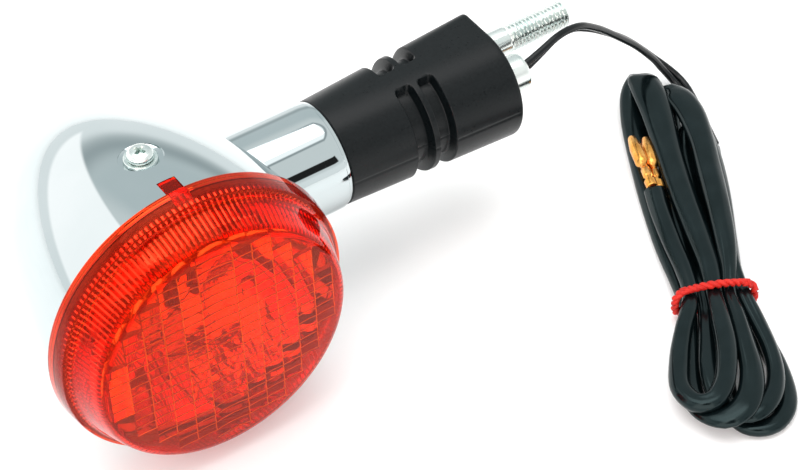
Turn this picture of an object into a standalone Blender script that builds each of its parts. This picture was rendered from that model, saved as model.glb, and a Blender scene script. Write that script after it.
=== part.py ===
"""Bullet turn signal lamp on a rubber stalk, with its lead tied into a hank.

The origin is on the seating face of the base, between the stud and the wire tube.
+X points out of that face along the stud, the lens faces -Y, and +Z is up.
Every dimension is in millimetres and is scaled by MM when a mesh or curve is made.
"""

import math

import bmesh
import bpy
from mathutils import Vector

MM = 0.001
GAP = 0.3  # clearance between neighbouring pieces

# Where the main axes are
STALK_Y = -4.0  # the stalk and stem run along X at this Y
LENS_X = -110.5  # the lamp head is turned about a line along Y at this X
FLOOR_Z = -40.8  # the surface under the lamp head, which the hank lies on

# Lamp head
HOUSING_R = 39.05
HOUSING_WALL = 3.0
HOUSING_MOUTH_Y = -34.4
HOUSING_CURVE_Y = -32.9  # the shell starts to taper here
HOUSING_NOSE_Y = 46.2
HOUSING_POWER = 1.83
HOUSING_ROUND = 1.63
SCREW_Y = -14.1
SPOT_FACE_Z = 36.0
SPOT_FACE_R = 5.8
NOTCH_HALF = 2.5
NOTCH_END_Y = -26.7
BOSS_FACE_X = -82.0
LENS_BACK_Y = -32.9
LENS_FLANGE_R = 40.8
LENS_FACE_Y = -51.3

# Reflector, bulb and socket, all on the lens axis
REFLECTOR_MOUTH_R = 33.8
REFLECTOR_HOLE_R = 9.3
REFLECTOR_HOLE_Y = -6.2
REFLECTOR_DEPTH = 24.0
BULB_R = 12.5
BULB_Y = -27.5
CAP_R = 7.5
PIN_R = 1.0
PIN_Y = -4.0
PIN_REACH = 8.6
BULB_TURN = 20.0  # degrees, counter-clockwise as seen from the lens
BULB_PUSH = 1.8
SHELL_R = 8.7
SHELL_BORE_R = 7.9

# Stem and rubber stalk, along X
SLEEVE_R = 15.5
SLEEVE_RIM_X = -53.4
SLEEVE_BORE_R = 13.3
SLEEVE_END_X = -88.0  # inside the housing, before the saddle is cut
SLEEVE_FOOT_R = 12.5
SLEEVE_FOOT_X = -69.5
CORE_R = 5.0
CORE_BORE_R = 3.3
CORE_TIP_X = -36.0
CORE_END_X = -89.5
FLANGE_R = 13.0  # the core's flange sits between the rubber and the sleeve's foot
FLANGE_X = -64.9
FLANGE_THICK = 1.5
WASHER_R = 8.2
WASHER_THICK = 1.0
NUT_R = 7.9
NUT_THICK = 4.0
RIM_CHAMFER = 0.6
RUBBER_ROUND_R = 15.1
BASE_FRONT = (-5.6, 16.3)  # centre Y and radius of the front arc of the base outline
BASE_CORNER = (4.5, 13.0, 3.3)  # centre Y and Z and radius of its two back corners
BASE_BACK = (-10.3, 23.0)  # centre Y and radius of its shallow back arc
BASE_BACK_ANGLE = 41.0  # the back arc's half angle
GROOVES = ((-33.4, -27.8), (-26.3, -21.0))
GROOVE_DEPTH = 3.0
RIB_Y = (-8.6, -2.0)  # the rib that bridges the grooves, at the top and the bottom
RIB_Z = 9.0
PLATE_THICK = 4.0
PLATE_INSET = 2.6  # from the rubber's outline at the base

# Mounting stud and wire tube
STUD_R = 4.0
STUD_HEAD_R = 5.0
STUD_Y = 6.0
STUD_END_X = 33.5
TUBE_R = 5.3
TUBE_BORE_R = 4.2
TUBE_Y = -7.3
TUBE_END_X = 9.7

# Lead
WIRE_R = 1.05
WIRE_SIDE = 1.2  # each wire's centre is this far from the pair's centre
LEAD_START_X = 2.3
LEAD_ROUTE = (
    (2.3, -7.3, 0.0),
    (9.7, -7.2, 0.3),
    (16.0, -6.2, 1.6),
    (24.0, -4.4, 3.0),
    (31.0, -3.0, 1.8),
    (37.8, -1.0, -3.0),
    (44.6, 0.9, -9.0),
    (55.0, 2.8, -19.0),
    (62.4, 3.2, -27.5),
    (66.9, 2.2, -33.4),
    (69.6, -0.9, -37.2),
    (69.9, -4.9, -38.6),
    (68.4, -10.0, -38.7),
    (66.4, -15.6, -38.7),
    (64.0, -21.8, -38.7),
    (61.1, -29.6, -38.7),
)

# Hank: s runs along it from the bottom loops, w across it, to the right seen from above
HANK_ORIGIN = (3.0, -122.0)
HANK_ALONG = (0.4141, 0.9102)
HANK_TOP_Z = -30.3
HANK_LEFT = (
    (-1.5, -15.5),
    (6.0, -20.5),
    (16.0, -20.6),
    (30.0, -16.6),
    (44.0, -12.4),
    (58.0, -13.2),
    (76.0, -13.0),
    (98.0, -11.8),
    (122.0, -10.0),
    (133.0, -8.6),
)
HANK_RIGHT = (
    (134.0, 6.5),
    (122.0, 9.8),
    (107.1, 11.2),
    (107.1, 17.0),
    (88.0, 14.6),
    (68.0, 11.8),
    (46.0, 10.0),
    (30.0, 12.2),
    (18.0, 13.6),
    (6.0, 12.6),
    (-2.0, 8.4),
)
HANK_ENDS = ((138.5, -1.0), (-5.0, -3.0))
POCKET_START_S = 88.5  # the cut end of the sleeving, where the connectors lie
POCKET_END_S = 121.0
POCKET_W = -2.3
POCKET_FLOOR_Z = -35.8
TIE_S = 44.0
TIE_R = 0.8
NECK = (-11.2, 8.8, -38.8, -31.6)  # left, right, bottom and top under the tie
CONNECTOR_ROWS = (("bullet_connector_1", -8.6), ("bullet_connector_2", -4.4))
CONNECTOR_Z = -33.5

X_AXIS = Vector((1, 0, 0))
Y_AXIS = Vector((0, 1, 0))
Z_AXIS = Vector((0, 0, 1))


def clear_scene():
    for obj in list(bpy.data.objects):
        bpy.data.objects.remove(obj, do_unlink=True)


def make_material(name, color, roughness, metallic=0.0, transmission=0.0):
    mat = bpy.data.materials.new(name)
    mat.use_nodes = True
    shader = mat.node_tree.nodes["Principled BSDF"]
    shader.inputs["Base Color"].default_value = (*color, 1.0)
    shader.inputs["Roughness"].default_value = roughness
    shader.inputs["Metallic"].default_value = metallic
    shader.inputs["Transmission Weight"].default_value = transmission
    return mat


def dress(obj, color, roughness, metallic=0.0, transmission=0.0):
    """Gives an object a material of its own."""
    obj.data.materials.append(make_material(obj.name, color, roughness, metallic, transmission))


def chrome(obj):
    dress(obj, (0.80, 0.83, 0.84), 0.08, 1.0)


def zinc(obj):
    dress(obj, (0.72, 0.76, 0.74), 0.28, 1.0)


def steel(obj):
    dress(obj, (0.55, 0.56, 0.58), 0.35, 1.0)


def brass(obj):
    dress(obj, (0.86, 0.60, 0.28), 0.3, 1.0)


def black_rubber(obj):
    dress(obj, (0.020, 0.023, 0.025), 0.45)


def clear_glass(obj):
    dress(obj, (0.95, 0.97, 0.98), 0.03, 0.0, 0.9)


def phenolic(obj):
    dress(obj, (0.28, 0.17, 0.09), 0.5)


def smooth(obj, angle=35.0):
    obj.data.shade_smooth()
    obj.data.set_sharp_from_angle(angle=math.radians(angle))


def add_object(name, points, faces):
    """Makes a mesh object from points in millimetres, with its faces turned outwards."""
    mesh = bpy.data.meshes.new(name)
    mesh.from_pydata([Vector(p) * MM for p in points], [], faces)
    bm = bmesh.new()
    bm.from_mesh(mesh)
    bmesh.ops.recalc_face_normals(bm, faces=bm.faces)
    bm.to_mesh(mesh)
    bm.free()
    obj = bpy.data.objects.new(name, mesh)
    bpy.context.scene.collection.objects.link(obj)
    return obj


def turned(name, outline, centre, axis, sides=48):
    """Turns (along, radius) points about an axis; a radius of 0 is a point on the axis."""
    side = axis.orthogonal().normalized()
    other = axis.cross(side)
    points = []
    rings = []
    for along, radius in outline:
        count = sides if radius > 0 else 1
        rings.append(list(range(len(points), len(points) + count)))
        for k in range(count):
            turn = 2 * math.pi * k / sides
            out = side * math.cos(turn) + other * math.sin(turn)
            points.append(Vector(centre) + axis * along + out * radius)
    faces = []
    for ring, following in zip(rings, rings[1:] + rings[:1]):
        if len(ring) == 1 and len(following) == 1:
            continue
        for k in range(sides):
            k2 = (k + 1) % sides
            corners = [ring[k % len(ring)], ring[k2 % len(ring)]]
            corners += [following[k2 % len(following)], following[k % len(following)]]
            faces.append(list(dict.fromkeys(corners)))
    obj = add_object(name, points, faces)
    smooth(obj)
    return obj


def about_lens_axis(name, outline, sides=48):
    """Turned about the lens axis; along is the Y coordinate."""
    return turned(name, outline, (LENS_X, 0, 0), Y_AXIS, sides)


def about_x(name, outline, y, sides=32):
    """Turned about a line along X; along is the X coordinate."""
    return turned(name, outline, (0, y, 0), X_AXIS, sides)


def lofted(name, rings):
    """A solid through rings of equal length, with flat ends."""
    count = len(rings[0])
    points = [p for ring in rings for p in ring]
    faces = [list(range(count)), list(range(len(points) - count, len(points)))]
    for row in range(len(rings) - 1):
        for k in range(count):
            a = row * count + k
            b = row * count + (k + 1) % count
            faces.append([a, b, b + count, a + count])
    return add_object(name, points, faces)


def rod(name, start, end, radius, centre, axis, sides=28):
    """A plain cylinder from start to end along an axis through a centre, with one face at each end."""
    side = axis.orthogonal().normalized()
    other = axis.cross(side)
    rings = []
    for along in (start, end):
        ring = []
        for k in range(sides):
            turn = 2 * math.pi * k / sides
            out = side * math.cos(turn) + other * math.sin(turn)
            ring.append(Vector(centre) + axis * along + out * radius)
        rings.append(ring)
    return lofted(name, rings)


def rod_x(name, start, end, radius, y, sides=28):
    return rod(name, start, end, radius, (0, y, 0), X_AXIS, sides)


def box(name, low, high):
    corners = [(low, low), (high, low), (high, high), (low, high)]
    rings = []
    for z_from in (low, high):
        rings.append([(a[0], b[1], z_from[2]) for a, b in corners])
    return lofted(name, rings)


def smooth_path(route, spacing):
    """Points about spacing apart on a Catmull-Rom curve through the route's points."""
    route = [Vector(p) for p in route]
    ends = [2 * route[0] - route[1]] + route + [2 * route[-1] - route[-2]]
    path = []
    for a, b, c, d in zip(ends, ends[1:], ends[2:], ends[3:]):
        steps = max(1, round((c - b).length / spacing))
        for k in range(steps):
            t = k / steps
            path.append(
                0.5
                * (
                    2 * b
                    + (c - a) * t
                    + (2 * a - 5 * b + 4 * c - d) * t**2
                    + (3 * b - a - 3 * c + d) * t**3
                )
            )
    return path + [route[-1]]


def tube(name, path, radius, closed=False):
    """A round cord along a path, as a bevelled curve with filled caps."""
    curve = bpy.data.curves.new(name, "CURVE")
    curve.dimensions = "3D"
    curve.bevel_depth = radius * MM
    curve.bevel_resolution = 2
    curve.use_fill_caps = not closed
    spline = curve.splines.new("POLY")
    spline.points.add(len(path) - 1)
    for point, place in zip(spline.points, path):
        point.co = (*(Vector(place) * MM), 1.0)
    spline.use_cyclic_u = closed
    spline.use_smooth = True
    obj = bpy.data.objects.new(name, curve)
    bpy.context.scene.collection.objects.link(obj)
    return obj


def combine(target, tool, operation):
    """Adds an exact Boolean; the tool stays in the scene as a hidden helper."""
    tool.hide_render = True
    tool.display_type = "WIRE"
    modifier = target.modifiers.new(tool.name, "BOOLEAN")
    modifier.operation = operation
    modifier.solver = "EXACT"
    modifier.object = tool


def cut(target, tool):
    combine(target, tool, "DIFFERENCE")


def join(target, tool):
    combine(target, tool, "UNION")


def housing_radius(y, inset=0.0):
    """Radius of the bullet shell at a height along its axis, or of its inside."""
    span = HOUSING_NOSE_Y - inset - HOUSING_CURVE_Y
    share = min(1.0, max(0.0, (y - HOUSING_CURVE_Y) / span))
    return (HOUSING_R - inset) * (1 - share**HOUSING_POWER) ** (1 / HOUSING_ROUND)


def housing_outline(inset, rows=10):
    """(y, radius) points from the mouth to the nose."""
    nose = HOUSING_NOSE_Y - inset
    outline = [(HOUSING_MOUTH_Y, HOUSING_R - inset)]
    for row in range(rows):
        y = HOUSING_CURVE_Y + (nose - HOUSING_CURVE_Y) * math.sin(row / rows * math.pi / 2)
        outline.append((y, housing_radius(y, inset)))
    return outline + [(nose, 0.0)]


def make_housing():
    outside = housing_outline(0.0)
    inside = housing_outline(HOUSING_WALL)
    housing = about_lens_axis("housing", outside + inside[::-1], 48)
    boss = rod_x("housing_boss", -70, BOSS_FACE_X, 9.5, STALK_Y)
    middle = housing_outline(0.5 * HOUSING_WALL)
    core = about_lens_axis("housing_middle", [(HOUSING_MOUTH_Y, 0.0)] + middle, 48)
    combine(boss, core, "INTERSECT")
    join(housing, boss)
    cut(housing, rod_x("housing_bore", -90, -66, CORE_R + GAP, STALK_Y))
    screw_place = (LENS_X, SCREW_Y, 0)
    cut(housing, rod("housing_spot_face", SPOT_FACE_Z, 45, SPOT_FACE_R, screw_place, Z_AXIS))
    cut(housing, rod("housing_screw_hole", 30, 40, 2.3, screw_place, Z_AXIS, 20))
    notch_low = (LENS_X - NOTCH_HALF, HOUSING_MOUTH_Y - 2, 33)
    notch_high = (LENS_X + NOTCH_HALF, NOTCH_END_Y, 42)
    cut(housing, box("housing_notch", notch_low, notch_high))
    chrome(housing)


def make_housing_screw():
    centre = (LENS_X, SCREW_Y, 0)
    seat = SPOT_FACE_Z + GAP
    washer = ((seat, 2.2), (seat, 4.3), (seat + 0.7, 4.3), (seat + 0.7, 2.2))
    steel(turned("screw_washer", washer, centre, Z_AXIS, 24))
    head = seat + 1.0
    screw = (
        (27.0, 0),
        (27.4, 1.9),
        (head, 1.9),
        (head, 3.4),
        (head + 1.1, 3.3),
        (head + 1.9, 2.4),
        (head + 2.2, 1.2),
        (head + 2.2, 0),
    )
    zinc(turned("housing_screw", screw, centre, Z_AXIS, 24))


def make_lens():
    outline = (
        (LENS_BACK_Y, 39.5),
        (LENS_BACK_Y, LENS_FLANGE_R),
        (-39.0, 40.1),
        (-39.9, 38.8),
        (-40.5, 37.9),
        (-46.9, 35.8),
        (-48.8, 35.0),
        (-49.7, 33.5),
        (-50.5, 24.0),
        (-51.1, 12.0),
        (LENS_FACE_Y, 0.0),
        (-49.1, 0.0),
        (-48.9, 12.0),
        (-48.3, 24.0),
        (-47.4, 32.0),
        (-46.0, 33.4),
        (-39.5, 34.3),
        (-30.5, 34.3),
        (-30.5, 35.5),
        (-36.2, 35.5),
        (-36.2, 39.5),
    )
    lens = about_lens_axis("lens", outline, 44)
    tab = box("lens_tab", (LENS_X - 2.15, -37.0, 36.4), (LENS_X + 2.15, -27.0, 38.95))
    bridge = box("lens_tab_root", (LENS_X - 2.15, -36.6, 38.0), (LENS_X + 2.15, -34.7, 40.0))
    join(tab, bridge)
    join(lens, tab)
    dress(lens, (0.95, 0.16, 0.03), 0.06, 0.0, 0.6)


def make_lens_gasket():
    ring = ((-35.9, 36.3), (-35.9, 38.9), (-34.7, 38.9), (-34.7, 36.3))
    gasket = about_lens_axis("lens_gasket", ring)
    slot = box("gasket_slot", (LENS_X - 2.6, -38, 30), (LENS_X + 2.6, -33, 42))
    cut(gasket, slot)
    black_rubber(gasket)


def make_reflector():
    front = []
    back = []
    for row in range(7):
        radius = REFLECTOR_HOLE_R + (REFLECTOR_MOUTH_R - REFLECTOR_HOLE_R) * row / 6
        rise = (radius**2 - REFLECTOR_HOLE_R**2) / (REFLECTOR_MOUTH_R**2 - REFLECTOR_HOLE_R**2)
        y = REFLECTOR_HOLE_Y - REFLECTOR_DEPTH * rise
        front.append((y, radius))
        back.append((y + 1.3, radius))
    rim = [(front[-1][0], 35.3), (back[-1][0], 35.3)]
    reflector = about_lens_axis("reflector", front + rim + back[::-1], 36)
    dress(reflector, (0.88, 0.89, 0.90), 0.12, 1.0)


def make_bracket():
    """Steel strip that carries the socket and takes the housing screw in its ear."""
    low = (LENS_X - 11.0, -3.2, -11.5)
    high = (LENS_X + 11.0, -2.0, 30.0)
    bracket = box("socket_bracket", low, high)
    ear = box("bracket_ear", (LENS_X - 6.0, -18.5, 28.8), (LENS_X + 6.0, -2.6, 30.0))
    join(bracket, ear)
    cut(bracket, rod("bracket_shell_hole", -5, 1, SHELL_R + GAP, (LENS_X, 0, 0), Y_AXIS, 32))
    cut(bracket, rod("bracket_screw_hole", 25, 36, 2.2, (LENS_X, SCREW_Y, 0), Z_AXIS, 20))
    for name, side in (("left", -1), ("right", 1)):
        corner_low = (LENS_X + min(side * 6.0, side * 12.0), -5.0, 12.0)
        corner_high = (LENS_X + max(side * 6.0, side * 12.0), 1.0, 34.0)
        cut(bracket, box("bracket_relief_" + name, corner_low, corner_high))
    steel(bracket)


def sector(name, start, end, low_y, high_y):
    """A wedge of a ring about the lens axis, between two angles in degrees from +X to +Z."""
    rings = []
    for y in (low_y, high_y):
        ring = []
        for radius, turns in ((7.0, range(5)), (9.3, range(4, -1, -1))):
            for k in turns:
                turn = math.radians(start + (end - start) * k / 4)
                ring.append((LENS_X + radius * math.cos(turn), y, radius * math.sin(turn)))
        rings.append(ring)
    return lofted(name, rings)


def make_socket():
    shell = (
        (-9.5, SHELL_BORE_R),
        (-9.5, SHELL_R),
        (-4.5, SHELL_R),
        (-4.5, 11.3),
        (-3.6, 11.3),
        (-3.6, SHELL_R),
        (15.0, SHELL_R),
        (15.0, SHELL_BORE_R),
    )
    socket = about_lens_axis("socket_shell", shell, 36)
    far_y = PIN_Y + BULB_PUSH + PIN_R + GAP
    near_y = PIN_Y - PIN_R - GAP
    for pin, start in (("a", 0.0), ("b", 180.0)):
        window = sector("slot_window_" + pin, start - 10, start + BULB_TURN + 10, near_y, far_y)
        cut(socket, window)
        entry = sector("slot_entry_" + pin, start + BULB_TURN - 9, start + BULB_TURN + 9, -11, far_y - 1)
        cut(socket, entry)
    brass(socket)
    base = ((12.7, 1.9), (12.7, 7.6), (14.6, 7.6), (14.6, 1.9))
    phenolic(about_lens_axis("socket_base", base, 32))
    eyelet = ((14.9, 1.3), (14.9, 2.6), (15.3, 2.6), (15.3, 1.7), (17.0, 1.7), (17.0, 1.3))
    brass(about_lens_axis("live_terminal", eyelet, 20))
    brass(box("earth_terminal", (LENS_X - 1.6, 9.0, -9.9), (LENS_X + 1.6, 17.0, -9.0)))


def make_contact():
    disc = ((5.3, 1.5), (5.3, 7.4), (6.8, 7.4), (6.8, 1.5))
    phenolic(about_lens_axis("contact_disc", disc, 32))
    stud = ((4.2, 0), (4.2, 2.2), (5.0, 2.4), (5.0, 1.2), (8.6, 1.2), (8.6, 0))
    brass(about_lens_axis("contact_stud", stud, 20))
    turns = 4
    steps = 10 * turns
    path = []
    for k in range(steps + 1):
        turn = 2 * math.pi * k / 10
        y = 7.6 + (12.0 - 7.6) * k / steps
        path.append((LENS_X + 5.6 * math.cos(turn), y, 5.6 * math.sin(turn)))
    steel(tube("contact_spring", path, 0.4))


def ball_outline(radius, neck_r, neck_y, neck_end_y):
    """(y, radius) points from the open neck round the ball to its front pole."""
    outline = [(neck_end_y, neck_r), (neck_y, neck_r)]
    start = math.asin(neck_r / radius) + 0.35
    for k in range(7):
        turn = start + (math.pi - start) * k / 7
        outline.append((BULB_Y + radius * math.cos(turn), radius * math.sin(turn)))
    return outline + [(BULB_Y - radius, 0.0)]


def make_bulb():
    outer = ball_outline(BULB_R, 6.7, -15.6, -11.95)
    inner = ball_outline(BULB_R - 0.7, 6.0, -15.6, -11.95)
    clear_glass(about_lens_axis("bulb_glass", outer + inner[::-1], 28))
    cap_outline = (
        (-14.6, 7.05),
        (-14.6, CAP_R),
        (1.2, CAP_R),
        (2.4, 6.4),
        (2.4, 0.0),
        (-11.6, 0.0),
        (-11.6, 7.05),
    )
    cap = about_lens_axis("bulb_cap", cap_outline, 28)
    pin = ((-PIN_REACH, 0), (-PIN_REACH, PIN_R), (PIN_REACH, PIN_R), (PIN_REACH, 0))
    join(cap, turned("bulb_pins", pin, (LENS_X, PIN_Y, 0), X_AXIS, 16))
    brass(cap)
    tip = ((2.7, 0), (2.7, 2.4), (3.5, 2.0), (3.9, 0.9), (3.9, 0))
    dress(about_lens_axis("bulb_contact", tip, 20), (0.6, 0.6, 0.6), 0.4, 1.0)
    coil = []
    for k in range(13):
        turn = k * math.pi / 2
        coil.append((LENS_X - 4 + 8 * k / 12, -29 + 0.9 * math.sin(turn), 0.9 * math.cos(turn)))
    left_post = [(LENS_X - 2.6, -12.0, 0.0), (LENS_X - 2.6, -17.0, 0.0), (LENS_X - 4.3, -24.0, 0.2)]
    right_post = [(LENS_X + 4.3, -24.0, 0.2), (LENS_X + 2.6, -17.0, 0.0), (LENS_X + 2.6, -12.0, 0.0)]
    steel(tube("filament", left_post + coil + right_post, 0.2))


def make_stem():
    sleeve_outline = (
        (SLEEVE_RIM_X, SLEEVE_BORE_R),
        (SLEEVE_RIM_X, SLEEVE_R - RIM_CHAMFER),
        (SLEEVE_RIM_X - RIM_CHAMFER, SLEEVE_R),
        (SLEEVE_END_X, SLEEVE_R),
        (SLEEVE_END_X, SLEEVE_FOOT_R),
        (SLEEVE_FOOT_X, SLEEVE_FOOT_R),
        (SLEEVE_FOOT_X, CORE_R + GAP),
        (FLANGE_X - FLANGE_THICK - GAP, CORE_R + GAP),
        (FLANGE_X - FLANGE_THICK - GAP, SLEEVE_BORE_R),
    )
    sleeve = about_x("stem_sleeve", sleeve_outline, STALK_Y, 48)
    outside = [(y, radius + GAP) for y, radius in housing_outline(0.0)[:-1]]
    solid = [(HOUSING_MOUTH_Y, 0.0)] + outside + [(HOUSING_NOSE_Y + GAP, 0.0)]
    cut(sleeve, about_lens_axis("sleeve_saddle", solid, 44))
    chrome(sleeve)
    core_outline = (
        (CORE_TIP_X, CORE_BORE_R),
        (CORE_TIP_X, CORE_R),
        (FLANGE_X, CORE_R),
        (FLANGE_X, FLANGE_R),
        (FLANGE_X - FLANGE_THICK, FLANGE_R),
        (FLANGE_X - FLANGE_THICK, CORE_R),
        (CORE_END_X, CORE_R),
        (CORE_END_X, CORE_BORE_R),
    )
    steel(about_x("stem_core", core_outline, STALK_Y))
    bore_r = CORE_R + GAP
    near_x = BOSS_FACE_X - GAP
    far_x = near_x - WASHER_THICK
    washer = ((near_x, bore_r), (near_x, WASHER_R), (far_x, WASHER_R), (far_x, bore_r))
    steel(about_x("stem_washer", washer, STALK_Y))
    nut_x = far_x - GAP
    nut = rod_x("stem_nut", nut_x - NUT_THICK, nut_x, NUT_R, STALK_Y, 6)
    cut(nut, rod_x("nut_bore", -92, -80, bore_r, STALK_Y, 24))
    zinc(nut)


def groove_depth(x, y, z):
    """How deep the rubber is cut at a place on its outside."""
    if abs(z) > RIB_Z and RIB_Y[0] < y < RIB_Y[1]:
        return 0.0
    for start, end in GROOVES:
        if start < x < end:
            return GROOVE_DEPTH
    return 0.0


def base_outline(inset, sides):
    """(y, z, angle) round the base: a front arc, flats above and below, tight corners, a shallow back.

    The angle is the outward direction's, in degrees from the front over the top.
    """
    outline = []
    for k in range(sides):
        angle = 360.0 * k / sides
        from_back = abs(angle - 180.0)
        if from_back >= 90.0:
            centre_y, centre_z, radius = BASE_FRONT[0], 0.0, BASE_FRONT[1]
        elif from_back >= BASE_BACK_ANGLE:
            centre_y, centre_z, radius = BASE_CORNER
        else:
            centre_y, centre_z, radius = BASE_BACK[0], 0.0, BASE_BACK[1]
        if angle > 180.0:
            centre_z = -centre_z
        turn = math.radians(angle)
        y = centre_y - (radius - inset) * math.cos(turn)
        z = centre_z + (radius - inset) * math.sin(turn)
        outline.append((y, z, angle))
    return outline


def rubber_ring(x, inset=0.0, share=1.0, sides=48):
    """The stalk's outline across X; a share of 0 is the round end at the stem, 1 is the base."""
    ring = []
    for y, z, angle in base_outline(inset, sides):
        turn = math.radians(angle)
        round_y = STALK_Y - (RUBBER_ROUND_R - inset) * math.cos(turn)
        round_z = (RUBBER_ROUND_R - inset) * math.sin(turn)
        y = round_y + (y - round_y) * share
        z = round_z + (z - round_z) * share
        depth = groove_depth(x, y, z)
        ring.append((x, y + depth * math.cos(turn), z - depth * math.sin(turn)))
    return ring


def base_solid(name, start_x, end_x, inset):
    """A straight solid with the base's outline, set in all round."""
    return lofted(name, [rubber_ring(x, inset) for x in (start_x, end_x)])


def make_rubber_stalk():
    stations = [SLEEVE_RIM_X + GAP, -44.0]
    for start, end in GROOVES:
        stations += [start - 0.01, start + 0.5, end - 0.5, end + 0.01]
    stations += [-10.0, -0.7]
    rings = []
    for x in (FLANGE_X + GAP, SLEEVE_RIM_X + 0.2):
        rings.append(rubber_ring(x, RUBBER_ROUND_R - SLEEVE_BORE_R + GAP, 0.0))
    for x in stations:
        rings.append(rubber_ring(x, 0.0, (x - SLEEVE_RIM_X) / -SLEEVE_RIM_X))
    rings.append(rubber_ring(0.0, 0.7))
    stalk = lofted("rubber_stalk", rings)
    smooth(stalk, 30)
    cut(stalk, rod_x("rubber_core_bore", -70, CORE_TIP_X + 0.5, CORE_R + GAP, STALK_Y))
    cut(stalk, rod_x("rubber_wire_channel", -37, -8, 4.4, STALK_Y - 1.0))
    cut(stalk, rod_x("rubber_tube_bore", -11, 2, TUBE_R + GAP, TUBE_Y))
    cut(stalk, rod_x("rubber_stud_pocket", -8.3, 2, STUD_HEAD_R + 0.4, STUD_Y))
    cut(stalk, base_solid("rubber_plate_pocket", -PLATE_THICK - GAP, 2.0, PLATE_INSET - GAP))
    black_rubber(stalk)


def make_base():
    plate = base_solid("base_plate", -PLATE_THICK, 0.0, PLATE_INSET)
    cut(plate, rod_x("plate_stud_hole", -9, 4, STUD_R + GAP, STUD_Y))
    cut(plate, rod_x("plate_tube_hole", -12, 4, TUBE_R + GAP, TUBE_Y))
    steel(plate)
    stud_outline = (
        (-PLATE_THICK - GAP - 3.5, 0),
        (-PLATE_THICK - GAP - 3.5, STUD_HEAD_R),
        (-PLATE_THICK - GAP, STUD_HEAD_R),
        (-PLATE_THICK - GAP, STUD_R),
        (STUD_END_X - 0.9, STUD_R),
        (STUD_END_X, STUD_R - 0.9),
        (STUD_END_X, 0),
    )
    zinc(about_x("mounting_stud", stud_outline, STUD_Y, 32))
    tube_outline = (
        (-10.0, TUBE_BORE_R),
        (-10.0, TUBE_R),
        (TUBE_END_X - 1.0, TUBE_R),
        (TUBE_END_X - 0.3, TUBE_R - 0.3),
        (TUBE_END_X, TUBE_R - 0.7),
        (TUBE_END_X - 0.3, TUBE_BORE_R),
    )
    zinc(about_x("wire_tube", tube_outline, TUBE_Y, 32))


def make_inner_wires():
    """The stretch of each wire from its socket terminal to the inside of the wire tube."""
    starts = (("inner_wire_live", (LENS_X, 17.3, 0.0), 1), ("inner_wire_earth", (LENS_X, 17.3, -9.45), -1))
    for name, start, side in starts:
        x, y, z = start
        route = (
            start,
            (x + 0.5, y + 3.0, z),
            (x + 5.0, y + 3.6, (z + side * WIRE_SIDE) / 2),
            (-98.0, 13.0, side * WIRE_SIDE),
            (-94.5, 1.5, side * WIRE_SIDE),
            (-89.0, STALK_Y + 0.4, side * WIRE_SIDE),
            (-80.0, STALK_Y, side * WIRE_SIDE),
            (-60.0, STALK_Y, side * WIRE_SIDE),
            (-40.0, STALK_Y, side * WIRE_SIDE),
            (-28.0, STALK_Y - 0.6, side * WIRE_SIDE),
            (-14.0, TUBE_Y + 1.6, side * WIRE_SIDE),
            (-6.0, TUBE_Y, side * WIRE_SIDE),
            (LEAD_START_X - GAP, TUBE_Y, side * WIRE_SIDE),
        )
        black_rubber(tube(name, smooth_path(route, 4.0), WIRE_R))


def across_path(path, k):
    """The level direction across a path at one of its points."""
    before = path[max(k - 1, 0)]
    after = path[min(k + 1, len(path) - 1)]
    return (after - before).cross(Z_AXIS).normalized()


def make_lead_wires():
    """Two wires that leave the tube one over the other and reach the hank side by side."""
    middle = smooth_path(LEAD_ROUTE, 3.6)
    for name, side in (("lead_wire_live", 1), ("lead_wire_earth", -1)):
        path = []
        for k, place in enumerate(middle):
            share = min(1.0, k / (0.5 * len(middle)))
            level = across_path(middle, k)
            upright = level.cross(middle[min(k + 1, len(middle) - 1)] - middle[max(k - 1, 0)]).normalized()
            lean = share * math.pi / 2
            offset = upright * math.cos(lean) + level * math.sin(lean)
            path.append(place + offset * side * WIRE_SIDE)
        black_rubber(tube(name, path, WIRE_R))


def hank_point(s, w, z):
    along = Vector((*HANK_ALONG, 0)).normalized()
    across = along.cross(Z_AXIS)
    return Vector((*HANK_ORIGIN, z)) + along * s + across * w


def hank_box(name, low, high):
    """A box in the hank's own directions, from (s, w, z) to (s, w, z)."""
    rings = []
    for z in (low[2], high[2]):
        corners = ((low[0], low[1]), (high[0], low[1]), (high[0], high[1]), (low[0], high[1]))
        rings.append([hank_point(s, w, z) for s, w in corners])
    return lofted(name, rings)


def rounded_loop(neck, margin, steps=4):
    """(w, z) points of a rounded rectangle that lies margin outside the neck."""
    left, right, bottom, top = neck
    corners = ((right, top, 0), (left, top, 90), (left, bottom, 180), (right, bottom, 270))
    loop = []
    for w, z, first in corners:
        for k in range(steps + 1):
            turn = math.radians(first + 90.0 * k / steps)
            loop.append((w + margin * math.cos(turn), z + margin * math.sin(turn)))
    return loop


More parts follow.
